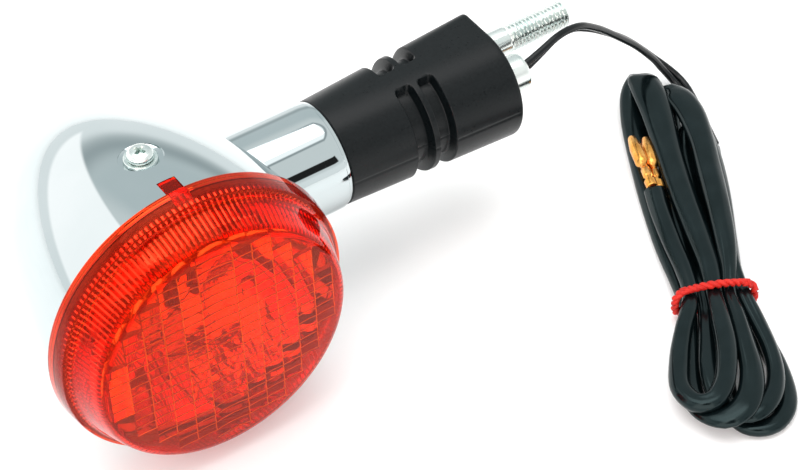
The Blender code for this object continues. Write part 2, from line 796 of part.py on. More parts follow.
def make_hank():
    outline = list(HANK_LEFT) + [HANK_ENDS[0]] + list(HANK_RIGHT) + [HANK_ENDS[1]]
    rings = [[hank_point(s, w, z) for s, w in outline] for z in (FLOOR_Z, HANK_TOP_Z)]
    hank = lofted("wire_hank", rings)
    pocket_low = (POCKET_START_S, -30.0, POCKET_FLOOR_Z)
    pocket_high = (POCKET_END_S, POCKET_W, HANK_TOP_Z + 5)
    cut(hank, hank_box("hank_pocket", pocket_low, pocket_high))
    groove_low = (TIE_S - 1.4, -25.0, FLOOR_Z - 5)
    groove_high = (TIE_S + 1.4, 25.0, HANK_TOP_Z + 5)
    groove = hank_box("hank_groove", groove_low, groove_high)
    neck_low = (TIE_S - 3, NECK[0], NECK[2])
    neck_high = (TIE_S + 3, NECK[1], NECK[3])
    cut(groove, hank_box("hank_neck", neck_low, neck_high))
    cut(hank, groove)
    black_rubber(hank)
    loop = rounded_loop(NECK, GAP + TIE_R)
    tie = tube("hank_tie", [hank_point(TIE_S, w, z) for w, z in loop], TIE_R, closed=True)
    dress(tie, (0.85, 0.04, 0.02), 0.45)


def make_connectors():
    along = Vector((*HANK_ALONG, 0)).normalized()
    outline = (
        (0.3, 0),
        (0.3, 1.7),
        (3.4, 1.8),
        (4.6, 1.1),
        (9.6, 1.1),
        (10.2, 1.9),
        (17.0, 1.9),
        (21.4, 1.2),
        (21.9, 0.7),
        (21.9, 0),
    )
    for name, w in CONNECTOR_ROWS:
        centre = hank_point(POCKET_START_S, w, CONNECTOR_Z)
        brass(turned(name, outline, centre, along, 16))


def main():
    clear_scene()
    make_housing()
    make_housing_screw()
    make_lens()
    make_lens_gasket()
    make_reflector()
    make_bracket()
    make_socket()
    make_contact()
    make_bulb()
    make_stem()
    make_rubber_stalk()
    make_base()
    make_inner_wires()
    make_lead_wires()
    make_hank()
    make_connectors()


main()
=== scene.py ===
"""Looks of the bullet turn signal lamp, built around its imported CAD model.

The frame is the CAD model's own: the origin on the base's seating face, +X out of it along the
stud, the lens facing -Y, +Z up. Dimensions are in millimetres and are scaled by MM.
"""

import math

import bmesh
import bpy
from mathutils import Matrix, Vector, noise
from mathutils.geometry import delaunay_2d_cdt

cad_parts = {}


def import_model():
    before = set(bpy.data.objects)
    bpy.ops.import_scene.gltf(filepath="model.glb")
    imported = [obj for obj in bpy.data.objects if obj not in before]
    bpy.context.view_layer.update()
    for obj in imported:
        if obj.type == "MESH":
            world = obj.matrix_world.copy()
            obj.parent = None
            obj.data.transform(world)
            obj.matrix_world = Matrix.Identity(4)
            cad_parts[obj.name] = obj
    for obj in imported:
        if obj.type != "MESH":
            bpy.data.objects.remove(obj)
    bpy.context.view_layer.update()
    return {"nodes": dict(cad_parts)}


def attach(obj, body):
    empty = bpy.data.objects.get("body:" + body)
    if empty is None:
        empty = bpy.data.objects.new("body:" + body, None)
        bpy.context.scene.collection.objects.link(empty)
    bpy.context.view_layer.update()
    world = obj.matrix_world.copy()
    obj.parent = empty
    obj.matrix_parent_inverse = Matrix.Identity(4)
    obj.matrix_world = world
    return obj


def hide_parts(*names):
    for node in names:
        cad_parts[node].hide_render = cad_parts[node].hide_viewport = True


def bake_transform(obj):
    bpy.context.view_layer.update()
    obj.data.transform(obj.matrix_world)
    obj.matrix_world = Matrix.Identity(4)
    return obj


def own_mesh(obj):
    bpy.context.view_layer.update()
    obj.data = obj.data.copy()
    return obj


MM = 0.001

# Shared places, as in the CAD source
LENS_X = -110.5
STALK_Y = -4.0
FLOOR_Z = -40.8
FLOOR_REACH = 3000
SCREW_FOOT = (LENS_X, -14.1, 0.0)
SCREW_R = 1.9
SCREW_HOLE_R = 2.3
SCREW_HEAD_R = 3.5
WASHER_HOLE_R = 2.2
WASHER_R = 4.35
WASHER_CHAMFER = 0.15
WASHER_THICK = 0.9
SPOT_FACE_Z = 36.0
SPOT_FACE = ((-0.05, 0), (0.0, 5.4), (0.12, 5.75), (9, 7.2), (9, 0))
NOTCH_HALF = 2.5
NOTCH_BACK_Y = -26.7
HOUSING_R = 39.05
HOUSING_WALL = 3.0
SADDLE_INSET = 1.5  # how far the stem's sleeve reaches into the housing's wall
HOUSING_MOUTH_Y = -34.4
HOUSING_CURVE_Y = -32.9
HOUSING_NOSE_Y = 46.2
HOUSING_POWER = 1.83
HOUSING_ROUND = 1.63
SLEEVE_R = 15.5
SLEEVE_BORE_R = 12.5
SLEEVE_RIM_X = -53.4
SLEEVE_END_X = -90.0
SLEEVE_RIM = (
    # distance past the rim's place, radius
    (-5.0, 13.3), (0.0, 13.3), (0.02, 14.6), (-0.2, 15.0), (-0.7, 15.15), (-1.1, 15.2), (-1.3, 15.42),
    (-1.7, SLEEVE_R),
)
STUD_Y = 6.0
STUD_R = 4.0
STUD_TIP_R = 3.1
STUD_END_X = 33.5
SHANK_INSET = 0.12
THREAD_START_X = 12.8
THREAD_PITCH = 1.25
THREAD_DEPTH = 0.76
TUBE_Y = -7.3
TUBE_END_X = 9.7
TUBE_R = 5.3
TUBE_BORE_R = 3.95
INNER_WIRE_ROUTE = (
    # through the stem and the rubber, into the tube
    (-98.0, 13.0), (-94.5, 1.5), (-89.0, STALK_Y + 0.4), (-80.0, STALK_Y), (-60.0, STALK_Y),
    (-40.0, STALK_Y), (-28.0, STALK_Y - 0.6), (-14.0, TUBE_Y + 1.6), (-6.0, TUBE_Y), (2.0, TUBE_Y),
)
SPRING_R = 5.6
SPRING_WIRE_R = 0.4
SPRING_TURNS = 4
SPRING_FRONT_Y = 7.6
SPRING_BACK_Y = 12.0
RUBBER_ROUND_R = 15.1
BASE_FRONT = (-5.6, 16.3)  # centre Y and radius of the front arc of the base outline
BASE_CORNER = (4.5, 13.0, 3.3)  # centre Y and Z and radius of its two back corners
BASE_BACK = (-10.3, 23.0)  # centre Y and radius of its shallow back arc
BASE_BACK_ANGLE = 41.0  # the back arc's half angle
GROOVES = ((-33.4, -27.8), (-26.3, -21.0))
GROOVE_DEPTH = 3.0
GROOVE_CORNER = 1.7
RIB_Y = (-8.6, -2.0)  # the rib that bridges the grooves, at the top and the bottom
RIB_Z = 9.0
SEAM_DEPTH = 0.16  # the mould's parting line, along the front
SEAM_WIDTH = 0.3
STALK_SPACING = 0.4

# Lead: two insulated wires from the wire tube to the sleeving
WIRE_R = 1.05
WIRE_SIDE = 1.2
LEAD_ROUTE = (
    (2.3, -7.3, 0.0), (9.7, -7.2, 0.3), (16.0, -6.2, 1.6), (24.0, -4.4, 3.0),
    (31.0, -3.0, 1.8), (37.8, -1.0, -3.0), (44.6, 0.9, -9.0), (55.0, 2.8, -19.0),
    (62.4, 3.2, -27.5), (66.9, 2.2, -33.4), (69.6, -0.9, -37.2), (69.9, -4.9, -38.6),
    (68.4, -10.0, -38.7), (66.4, -15.6, -38.7), (64.0, -21.8, -38.7), (61.1, -29.6, -38.7),
)

# Hank: s runs along it from the bottom loops, w across it, to the right seen from above
HANK_ORIGIN = (3.0, -122.0)
HANK_ALONG = Vector((0.4141, 0.9102, 0.0)).normalized()
TIE_S = 45.0
TIE_NECK = (-11.0, 9.4, -39.0, -31.8)  # left, right, bottom and top of what it goes round
TIE_CORNER = 2.4
TIE_MARGIN = 0.75
TIE_STRAND_R = 0.68
TIE_TWIST_R = 0.5
TIE_TWISTS = 15
TIE_BOW = 1.5
TIE_HALF = 12.0  # half the width over which it bows
TIE_START_S = TIE_S - 0.6
CONNECTOR_ROWS = (
    # node, where it starts across the hank and how high, how far it turns aside, and its roll in degrees
    ("bullet_connector_1", -7.6, -33.5, -3.4, 25.0),
    ("bullet_connector_2", -5.7, -34.6, 2.4, 160.0),
)
CONNECTOR_S = 88.5
CONNECTOR_WALL = 0.28
CONNECTOR_OUTLINE = (
    # distance along, radius, how far the seam stands open
    (0.0, 1.55, 0.25), (0.2, 1.75, 0.25), (2.6, 1.75, 0.2), (2.8, 1.5, 0.3), (3.1, 1.05, 0.5),
    (4.4, 1.0, 0.5), (4.8, 1.35, 0.3), (7.4, 1.35, 0.2), (7.8, 1.05, 0.3), (9.4, 1.05, 0.3),
    (10.2, 1.8, 0.12), (10.8, 1.95, 0.1), (16.4, 1.95, 0.1), (16.9, 1.85, 0.1), (20.9, 1.2, 0.1),
    (21.5, 0.85, 0.1),
)

# Centre line of the sleeving: s, w, z, width, thickness
SLEEVE_ROUTE = (
    # down, on the surface, from where the two wires go in
    (107.0, 13.8, -38.9, 6.0, 3.6), (98.0, 12.6, -39.0, 6.2, 3.4), (86.0, 11.2, -39.0, 6.2, 3.4),
    (70.0, 9.2, -38.9, 6.0, 3.4), (56.0, 7.3, -38.2, 5.2, 3.3), (45.0, 6.2, -37.2, 4.6, 3.0),
    (34.0, 8.2, -38.2, 5.2, 3.4), (23.0, 10.0, -38.8, 5.8, 3.6), (13.0, 10.1, -38.9, 5.8, 3.6),
    (6.6, 8.6, -38.9, 5.6, 3.6), (2.2, 5.2, -38.9, 5.4, 3.6), (0.8, 1.0, -38.9, 5.4, 3.6),
    (2.2, -3.0, -38.9, 5.4, 3.6), (7.0, -5.2, -38.9, 5.8, 3.5), (15.0, -5.2, -39.0, 6.0, 3.4),
    (26.0, -3.0, -38.8, 5.8, 3.4), (36.0, -0.4, -38.0, 5.0, 3.2),
    # up, under everything, to the lowest fold at the top
    (45.0, 1.4, -37.2, 4.6, 3.0), (56.0, 2.6, -38.2, 5.2, 3.3), (70.0, 3.6, -39.0, 6.0, 3.4),
    (88.0, 5.0, -39.0, 6.4, 3.4), (102.0, 7.0, -39.0, 6.8, 3.2), (109.0, 8.4, -38.8, 7.0, 3.2),
    (113.4, 9.8, -37.6, 7.0, 3.2), (112.2, 11.2, -35.8, 7.0, 3.2),
    # down the right edge
    (104.0, 11.9, -35.3, 6.8, 3.4), (88.0, 10.9, -35.3, 6.6, 3.5), (68.0, 8.3, -35.3, 5.8, 3.5),
    (55.0, 6.9, -34.6, 4.6, 3.3), (45.0, 6.9, -34.2, 4.0, 3.2), (34.0, 8.1, -35.0, 4.4, 3.8),
    (24.0, 8.9, -35.4, 4.6, 4.0), (16.0, 8.3, -35.6, 4.8, 4.0), (9.6, 6.0, -35.6, 5.2, 4.0),
    (5.0, 2.2, -35.5, 5.6, 3.8), (3.2, -2.0, -35.6, 5.8, 3.6), (5.4, -6.4, -35.8, 5.8, 3.5),
    (11.0, -8.6, -35.8, 5.8, 3.4), (20.0, -8.4, -35.9, 5.8, 3.4), (33.0, -5.6, -36.6, 5.2, 3.2),
    # up, under the broad run
    (45.0, -3.4, -37.2, 4.6, 3.0), (56.0, -2.8, -38.2, 5.2, 3.3), (70.0, -2.4, -39.0, 6.0, 3.4),
    (90.0, -0.4, -39.0, 7.4, 3.4), (106.0, 2.3, -38.9, 8.6, 3.4), (117.0, 3.2, -38.0, 8.8, 3.4),
    (124.0, 4.2, -36.8, 8.6, 3.6), (127.6, 6.0, -34.8, 6.8, 3.8), (124.6, 8.2, -33.2, 8.2, 3.8),
    (117.0, 10.0, -32.6, 8.2, 3.8),
    # down, the second broad run
    (105.0, 10.3, -32.3, 7.4, 3.8), (92.0, 9.4, -32.4, 7.0, 4.0), (78.0, 8.3, -32.4, 6.6, 4.0),
    (64.0, 6.8, -32.6, 5.8, 4.0), (54.0, 5.2, -33.2, 4.6, 3.6), (45.0, 3.2, -33.8, 4.0, 3.2),
    (36.0, 3.0, -33.6, 4.8, 3.8), (26.0, 2.4, -33.4, 5.6, 4.2), (16.0, 1.6, -33.6, 6.4, 4.2),
    (8.6, -0.6, -33.8, 7.0, 4.0), (3.8, -4.2, -34.0, 7.4, 3.8), (2.4, -9.0, -34.8, 7.2, 3.6),
    (6.6, -13.2, -36.2, 6.6, 3.5), (14.0, -14.4, -37.6, 6.2, 3.4), (25.0, -12.8, -38.4, 5.8, 3.4),
    (36.0, -10.0, -38.2, 5.2, 3.2),
    # up the left edge, on the surface
    (45.0, -8.3, -37.2, 4.6, 3.0), (56.0, -7.9, -38.0, 5.4, 3.4), (72.0, -8.1, -38.8, 6.4, 3.6),
    (92.0, -7.6, -38.8, 6.6, 3.8), (110.0, -6.4, -38.7, 7.2, 3.8), (122.0, -4.6, -38.2, 8.8, 3.9),
    (130.0, -2.6, -37.6, 9.8, 4.0), (134.2, -1.2, -36.6, 9.0, 4.0), (136.0, -0.4, -35.2, 7.2, 4.0),
    (134.4, 0.0, -33.8, 8.8, 4.0),
    # down, the broad run on top
    (127.0, 0.4, -32.9, 9.6, 3.9), (118.0, 0.5, -32.9, 9.2, 3.9), (104.0, 0.2, -33.6, 8.2, 4.0),
    (86.0, 0.1, -33.9, 7.8, 4.0), (68.0, 0.5, -33.9, 6.8, 4.0), (56.0, 0.3, -33.6, 5.8, 3.7),
    (45.0, -1.0, -33.4, 4.8, 3.2), (36.0, -1.8, -32.8, 5.2, 3.8), (26.0, -2.8, -32.4, 5.8, 4.2),
    (18.0, -4.6, -32.2, 5.8, 4.4), (11.4, -7.2, -32.4, 5.8, 4.6), (7.0, -11.0, -32.8, 5.8, 4.8),
    (7.6, -15.4, -33.4, 5.8, 4.8), (14.0, -17.8, -34.0, 5.8, 4.6), (24.0, -15.6, -34.4, 5.6, 4.2),
    (34.0, -12.0, -34.4, 5.0, 3.6),
    # up, the last run, which ends where the connectors come out
    (45.0, -7.6, -33.8, 4.4, 3.2), (56.0, -6.6, -34.6, 5.0, 3.6), (68.0, -7.1, -35.0, 5.4, 3.8),
    (80.0, -7.4, -35.0, 5.6, 4.0), (88.5, -7.2, -34.8, 5.8, 4.2),
)
RIPPLE = 0.20
CREASE = 0.12
TIE_CREASE = 0.35
CREASE_REACH = 11.0

# Lens: the face's cells lie on its inside
FACE_BACK_Y = -47.6
CELL_WIDTHS = (5.4,) * 5 + (9.8,) + (5.4,) * 5
CELL_ROWS = 22
CELL_HEIGHT = 2.9
CELLS_R = 33.1
CELL_BASE = 0.75  # how far the cells stand into the lens
CELL_BOW = 0.045
CELL_TILT = 0.34
CELL_GROOVE = 0.17  # depth, and half the width, of the grooves between cells
RIBS = 150
TAB_LOW = (-2.15, -36.0, 37.6)  # the tab in the housing's notch, from the lens's axis
TAB_HIGH = (2.15, -27.2, 38.95)
FACE, WALL_SHADE, EDGE_HIGHLIGHT, DARK_SHADE = range(4)  # the lens's own face colour, then painted light: shaded sides, highlighted fine edges and dark-shaded recesses
LENS_FACE_AND_PAINTED_LIGHT = ("lens", "lens_wall_shade", "lens_edge_highlight", "lens_dark_shade")
LENS_SHARP = 28.0  # edges sharper than this angle stay sharp

# Reflector
BOWL_HOLE_R = 9.3
BOWL_R = 33.6
BOWL_RIM_R = 35.0
BOWL_SPREAD = 33.8**2 - BOWL_HOLE_R**2
BOWL_BACK_Y = -6.2
BOWL_DEPTH = 24.0
BOWL_THICK = 1.2


# Small helpers


def spread(start, end, count):
    """Evenly spaced numbers, both ends included."""
    return [start + (end - start) * k / (count - 1) for k in range(count)]


def turns(count):
    """Angles evenly spread round a circle."""
    return [2 * math.pi * k / count for k in range(count)]


def ease(share):
    """A smooth step from 0 to 1."""
    share = min(1.0, max(0.0, share))
    return share * share * (3 - 2 * share)


def mesh_object(name, points, faces, material, angle=35.0, kinds=None):
    """A mesh object from points in millimetres, smooth but for edges sharper than the angle."""
    mesh = bpy.data.meshes.new(name)
    mesh.from_pydata([Vector(p) * MM for p in points], [], faces)
    if kinds:
        mesh.polygons.foreach_set("material_index", kinds)
    bm = bmesh.new()
    bm.from_mesh(mesh)
    bmesh.ops.remove_doubles(bm, verts=bm.verts, dist=1e-7)
    bmesh.ops.recalc_face_normals(bm, faces=bm.faces)
    bm.to_mesh(mesh)
    bm.free()
    mesh.materials.append(material)
    obj = bpy.data.objects.new(name, mesh)
    bpy.context.scene.collection.objects.link(obj)
    soften(obj, angle)
    return obj


def soften(obj, angle):
    """Smooth shading, but for edges sharper than the angle."""
    obj.data.shade_smooth()
    obj.data.set_sharp_from_angle(angle=math.radians(angle))


def grid_faces(rows, columns, closed):
    """Quads between rows of points, joined round each row, and the last row to the first if closed."""
    faces = []
    for row in range(rows if closed else rows - 1):
        here = row * columns
        there = (row + 1) % rows * columns
        for k in range(columns):
            k2 = (k + 1) % columns
            faces.append((here + k, here + k2, there + k2, there + k))
    return faces


def turned(name, outline, centre, axis, material, sides):
    """Turns (along, radius) points about an axis, in millimetres. A radius of 0 closes that end."""
    axis = Vector(axis)
    side = axis.orthogonal().normalized()
    other = axis.cross(side)
    points = []
    for along, radius in outline:
        for turn in turns(sides):
            out = side * math.cos(turn) + other * math.sin(turn)
            points.append(Vector(centre) + axis * along + out * radius)
    closed = outline[0][1] > 0
    return mesh_object(name, points, grid_faces(len(outline), sides, closed), material)


def about_lens_axis(name, outline, material, sides):
    return turned(name, outline, (LENS_X, 0, 0), (0, 1, 0), material, sides)


def about_x(name, outline, y, material, sides):
    return turned(name, outline, (0, y, 0), (1, 0, 0), material, sides)


BOX_FACES = [(0, 1, 2, 3), (4, 5, 6, 7)] + [(k, (k + 1) % 4, (k + 1) % 4 + 4, k + 4) for k in range(4)]


def box(name, low, high, material):
    """A box between two corners."""
    points = []
    for z in (low[2], high[2]):
        points += [(low[0], low[1], z), (high[0], low[1], z), (high[0], high[1], z), (low[0], high[1], z)]
    return mesh_object(name, points, BOX_FACES, material)


def carve(obj, tool, angle=35.0):
    """Cuts the tool's shape out of the object, and removes the tool."""
    modifier = obj.modifiers.new("carve", "BOOLEAN")
    modifier.operation = "DIFFERENCE"
    modifier.solver = "EXACT"
    modifier.object = tool
    graph = bpy.context.evaluated_depsgraph_get()
    mesh = bpy.data.meshes.new_from_object(obj.evaluated_get(graph), depsgraph=graph)
    obj.modifiers.clear()
    obj.data = mesh
    bpy.data.objects.remove(tool, do_unlink=True)
    soften(obj, angle)


def on_spline(p, q, r, s, t):
    """Where a Catmull-Rom curve through q and r is, at a share t of the way between them."""
    return 0.5 * (2 * q + (r - p) * t + (2 * p - 5 * q + 4 * r - s) * t**2 + (3 * q - p - 3 * r + s) * t**3)


def smooth_line(route, spacing):
    """Points about spacing apart on a smooth curve through tuples of any length."""
    route = [list(p) for p in route]
    first = [2 * a - b for a, b in zip(route[0], route[1])]
    last = [2 * a - b for a, b in zip(route[-1], route[-2])]
    ends = [first] + route + [last]
    line = []
    for a, b, c, d in zip(ends, ends[1:], ends[2:], ends[3:]):
        steps = max(1, round(math.dist(b[:3], c[:3]) / spacing))
        for k in range(steps):
            line.append([on_spline(*four, k / steps) for four in zip(a, b, c, d)])
    return line + [route[-1]]


def sweep_frames(centres, closed):
    """A side and an up direction at each centre: the side stays level, but keeps still over a fold."""
    count = len(centres)
    frames = []
    side = None
    for k in range(count):
        if closed:
            ahead = (centres[(k + 1) % count] - centres[k - 1]).normalized()
        else:
            ahead = (centres[min(k + 1, count - 1)] - centres[max(k - 1, 0)]).normalized()
        level = ahead.cross(Vector((0, 0, 1)))
        if side is None:
            side = level.normalized()
        kept = (side - ahead * side.dot(ahead)).normalized()
        flat = level.length**2
        if level.dot(kept) < 0:
            level = -level
        side = (kept * (1.001 - flat) + level * flat).normalized()
        side = (side - ahead * side.dot(ahead)).normalized()
        frames.append((side, side.cross(ahead).normalized()))
    return frames


def swept(name, centres, section, material, closed=False, sides=28):
    """A tube along centres; section(k, turn) gives how far out along the side and upwards."""
    points = []
    count = len(centres)
    for k, (side, up) in enumerate(sweep_frames(centres, closed)):
        for turn in turns(sides):
            out, rise = section(k, turn)
            points.append(centres[k] + side * out + up * rise)
    faces = grid_faces(count, sides, closed)
    if not closed:
        faces += [tuple(range(sides)), tuple(range((count - 1) * sides, count * sides))]
    return mesh_object(name, points, faces, material, 60.0)


def round_section(radius):
    """The section of a round wire, for swept."""
    def section(k, turn):
        return radius * math.cos(turn), radius * math.sin(turn)

    return section


def hank_point(s, w, z):
    """A place in the hank, in the frame."""
    across = HANK_ALONG.cross(Vector((0, 0, 1)))
    return Vector((*HANK_ORIGIN, z)) + HANK_ALONG * s + across * w


def place(obj, body, slot, *nodes):
    """The piece rides on a body and stands for CAD nodes; the slot is not used."""
    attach(obj, body)
    if nodes:
        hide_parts(*nodes)
    return obj


# Materials


def add_node(tree, kind, **values):
    """A shader node with some of its inputs set; a space in an input's name is written as _."""
    node = tree.nodes.new("ShaderNode" + kind)
    for name, value in values.items():
        node.inputs[name.replace("_", " ")].default_value = value
    return node


def new_material(name, color, roughness, **settings):
    material = bpy.data.materials.new(name)
    material.use_nodes = True
    shader = material.node_tree.nodes["Principled BSDF"]
    shader.inputs["Base Color"].default_value = (*color, 1.0)
    shader.inputs["Roughness"].default_value = roughness
    for key, value in settings.items():
        shader.inputs[key.replace("_", " ")].default_value = value
    return material


def add_noise(material, scale, stretch=(1, 1, 1), detail=3.0):
    """Noise in the piece's own space; scale is in waves per metre."""
    tree = material.node_tree
    coords = add_node(tree, "TexCoord")
    mapping = add_node(tree, "Mapping", Scale=stretch)
    texture = add_node(tree, "TexNoise", Scale=scale, Detail=detail)
    tree.links.new(coords.outputs["Object"], mapping.inputs["Vector"])
    tree.links.new(mapping.outputs["Vector"], texture.inputs["Vector"])
    return texture.outputs["Fac"]


def drive(material, socket, value):
    """Joins a node's output to an input of the material's shader."""
    shader = material.node_tree.nodes["Principled BSDF"]
    material.node_tree.links.new(value, shader.inputs[socket])


def vary_color(material, value, low, high):
    """Lets a noise take the color from low to high."""
    node = add_node(material.node_tree, "ValToRGB")
    for element, at, color in zip(node.color_ramp.elements, (0.35, 0.65), (low, high)):
        element.position = at
        element.color = (*color, 1.0)
    material.node_tree.links.new(value, node.inputs["Fac"])
    drive(material, "Base Color", node.outputs["Color"])


def vary_roughness(material, value, low, high):
    """Lets a noise take the roughness from low to high."""
    node = add_node(material.node_tree, "MapRange", From_Min=0.3, From_Max=0.7, To_Min=low, To_Max=high)
    material.node_tree.links.new(value, node.inputs["Value"])
    drive(material, "Roughness", node.outputs["Result"])


def add_bump(material, value, depth, strength):
    """Bump of a depth in millimetres."""
    node = add_node(material.node_tree, "Bump", Distance=depth * MM, Strength=strength)
    material.node_tree.links.new(value, node.inputs["Height"])
    drive(material, "Normal", node.outputs["Normal"])


def varied(name, low, high, rough_low, rough_high, scale, stretch, bump, detail, strength, settings):
    """A material whose color, roughness and bump follow one noise."""
    material = new_material(name, high, rough_high, **settings)
    value = add_noise(material, scale, stretch, detail)
    vary_color(material, value, low, high)
    vary_roughness(material, value, rough_low, rough_high)
    if bump:
        add_bump(material, value, bump, strength)
    return material


def metal(*look, stretch=(1, 1, 1), bump=0.0):
    return varied(*look, stretch, bump, 3.0, 0.5, {"Metallic": 1.0})


def polymer(*look, bump=0.0, **settings):
    return varied(*look, (1, 1, 1), bump, 5.0, 0.6, settings)


def make_lens_material_with_painted_glow(name, low, high, clearness):
    """Orange-red plastic that colours what is seen and mirrored by it, with a faint painted glow though no
    bulb is lit.
    """
    material = new_material(
        name, high, 0.0, IOR=1.49, Transmission_Weight=clearness,
        Specular_Tint=(1.0, 0.13, 0.03, 1.0), Specular_IOR_Level=0.2,
        # Painted light: a faint glow in the plastic, though no bulb is lit.
        Emission_Color=(1.0, 0.022, 0.004, 1.0), Emission_Strength=0.04,
    )
    value = add_noise(material, 120.0)
    vary_color(material, value, low, high)
    vary_roughness(material, value, 0.0, 0.012)
    return material


def make_glass_material():
    material = new_material("bulb_glass", (0.97, 0.98, 0.99), 0.02, IOR=1.2, Transmission_Weight=1.0)
    vary_roughness(material, add_noise(material, 90.0), 0.0, 0.03)
    return material


def make_floor_material():
    material = new_material(
        "floor_paper", (0.93, 0.94, 0.94), 0.9,
        Specular_IOR_Level=0.1, Emission_Color=(1.0, 1.0, 1.0, 1.0), Emission_Strength=0.06,
    )
    vary_color(material, add_noise(material, 30.0), (0.92, 0.93, 0.93), (0.94, 0.95, 0.95))
    return material


def make_materials():
    return {
        "chrome": metal("chrome", (0.51, 0.57, 0.58), (0.54, 0.595, 0.605), 0.015, 0.045, 40.0),
        "lens": make_lens_material_with_painted_glow("lens_amber", (1.0, 0.132, 0.008), (1.0, 0.150, 0.011), 0.98),
        # Painted shade: a deeper red copy of the lens plastic, for its sides.
        "lens_wall_shade": make_lens_material_with_painted_glow("lens_wall_shade", (1.0, 0.030, 0.010), (1.0, 0.042, 0.014), 0.96),
        # Painted highlight: a paler yellow copy of the lens plastic, for its fine edges.
        "lens_edge_highlight": make_lens_material_with_painted_glow("lens_edge_highlight", (1.0, 0.60, 0.07), (1.0, 0.68, 0.09), 0.35),
        # Painted shade: a near black copy of the lens plastic, for its recesses and the ribs' dark sides.
        "lens_dark_shade": make_lens_material_with_painted_glow("lens_dark_shade", (0.06, 0.004, 0.004), (0.09, 0.006, 0.006), 0.92),
        "rubber": polymer(
            "stalk_rubber", (0.0018, 0.0032, 0.0038), (0.0034, 0.0052, 0.0060), 0.27, 0.38, 1400.0, bump=0.02,
            Specular_IOR_Level=0.22,
        ),
        "gasket": polymer("gasket_rubber", (0.16, 0.16, 0.16), (0.24, 0.24, 0.24), 0.5, 0.65, 700.0),
        "zinc": metal(
            "zinc_plate", (0.62, 0.70, 0.68), (0.84, 0.87, 0.84), 0.16, 0.32, 260.0,
            stretch=(0.3, 1, 1), bump=0.01,
        ),
        "steel": metal("plain_steel", (0.42, 0.43, 0.45), (0.58, 0.59, 0.61), 0.28, 0.45, 300.0, bump=0.01),
        "reflector": metal("reflector_coat", (0.93, 0.94, 0.94), (0.97, 0.97, 0.97), 0.02, 0.06, 60.0),
        "brass": metal("brass", (0.74, 0.31, 0.058), (0.90, 0.46, 0.12), 0.16, 0.34, 420.0, bump=0.015),
        "bulb_brass": metal("bulb_brass", (0.66, 0.56, 0.36), (0.84, 0.76, 0.56), 0.2, 0.36, 220.0),
        "phenolic": polymer("phenolic", (0.16, 0.09, 0.045), (0.26, 0.16, 0.09), 0.45, 0.6, 320.0),
        "glass": make_glass_material(),
        "solder": metal("solder", (0.5, 0.5, 0.5), (0.68, 0.68, 0.67), 0.3, 0.5, 500.0, bump=0.02),
        "filament": metal("filament_wire", (0.25, 0.25, 0.26), (0.4, 0.4, 0.41), 0.35, 0.5, 900.0),
        "wire": polymer(
            "wire_cover", (0.0018, 0.0032, 0.0038), (0.0036, 0.0054, 0.0062), 0.20, 0.30, 220.0, bump=0.02,
            Specular_IOR_Level=0.28,
        ),
        "sleeving": polymer(
            "wire_sleeving", (0.0010, 0.0026, 0.0030), (0.0022, 0.0046, 0.0054), 0.13, 0.23, 170.0, bump=0.04,
            Specular_IOR_Level=0.30, Specular_Tint=(0.70, 1.0, 1.02, 1.0),
        ),
        "tie": polymer(
            "red_tie", (0.46, 0.012, 0.008), (0.62, 0.022, 0.013), 0.4, 0.55, 500.0, bump=0.03,
            Specular_IOR_Level=0.25,
        ),
    }


# Lamp head


def housing_outline(inset, rows):
    """(y, radius) along the bullet, or along a smaller one inside it, from its mouth to its nose."""
    nose = HOUSING_NOSE_Y - inset
    outline = []
    for row in range(rows):
        share = math.sin(row / rows * math.pi / 2)
        radius = (HOUSING_R - inset) * (1 - share**HOUSING_POWER) ** (1 / HOUSING_ROUND)
        outline.append((HOUSING_CURVE_Y + (nose - HOUSING_CURVE_Y) * share, radius))
    return outline + [(nose, 0.0)]


def make_housing(mats):
    """The bullet housing, with a spot face and hole for the screw and a notch for the lens."""
    outside = [(HOUSING_MOUTH_Y, HOUSING_R - 0.5), (HOUSING_MOUTH_Y + 0.15, HOUSING_R - 0.12)]
    outside += [(HOUSING_MOUTH_Y + 0.5, HOUSING_R)] + housing_outline(0.0, 120)
    inside = [(HOUSING_MOUTH_Y, HOUSING_R - HOUSING_WALL)] + housing_outline(HOUSING_WALL, 30)
    points = outside[::-1] + inside
    housing = about_lens_axis("chrome_housing", points, mats["chrome"], 320)
    dimple = [(SPOT_FACE_Z + rise, radius) for rise, radius in SPOT_FACE]
    carve(housing, turned("dimple", dimple, SCREW_FOOT, (0, 0, 1), mats["chrome"], 96))
    hole = ((28.0, 0), (28.0, SCREW_HOLE_R), (40.0, SCREW_HOLE_R), (40.0, 0))
    carve(housing, turned("hole", hole, SCREW_FOOT, (0, 0, 1), mats["chrome"], 48))
    notch_low = (LENS_X - NOTCH_HALF, HOUSING_MOUTH_Y - 2, 33)
    notch_high = (LENS_X + NOTCH_HALF, NOTCH_BACK_Y, 42)
    carve(housing, box("notch", notch_low, notch_high, mats["chrome"]))
    place(housing, "lamp", "chrome", "housing")


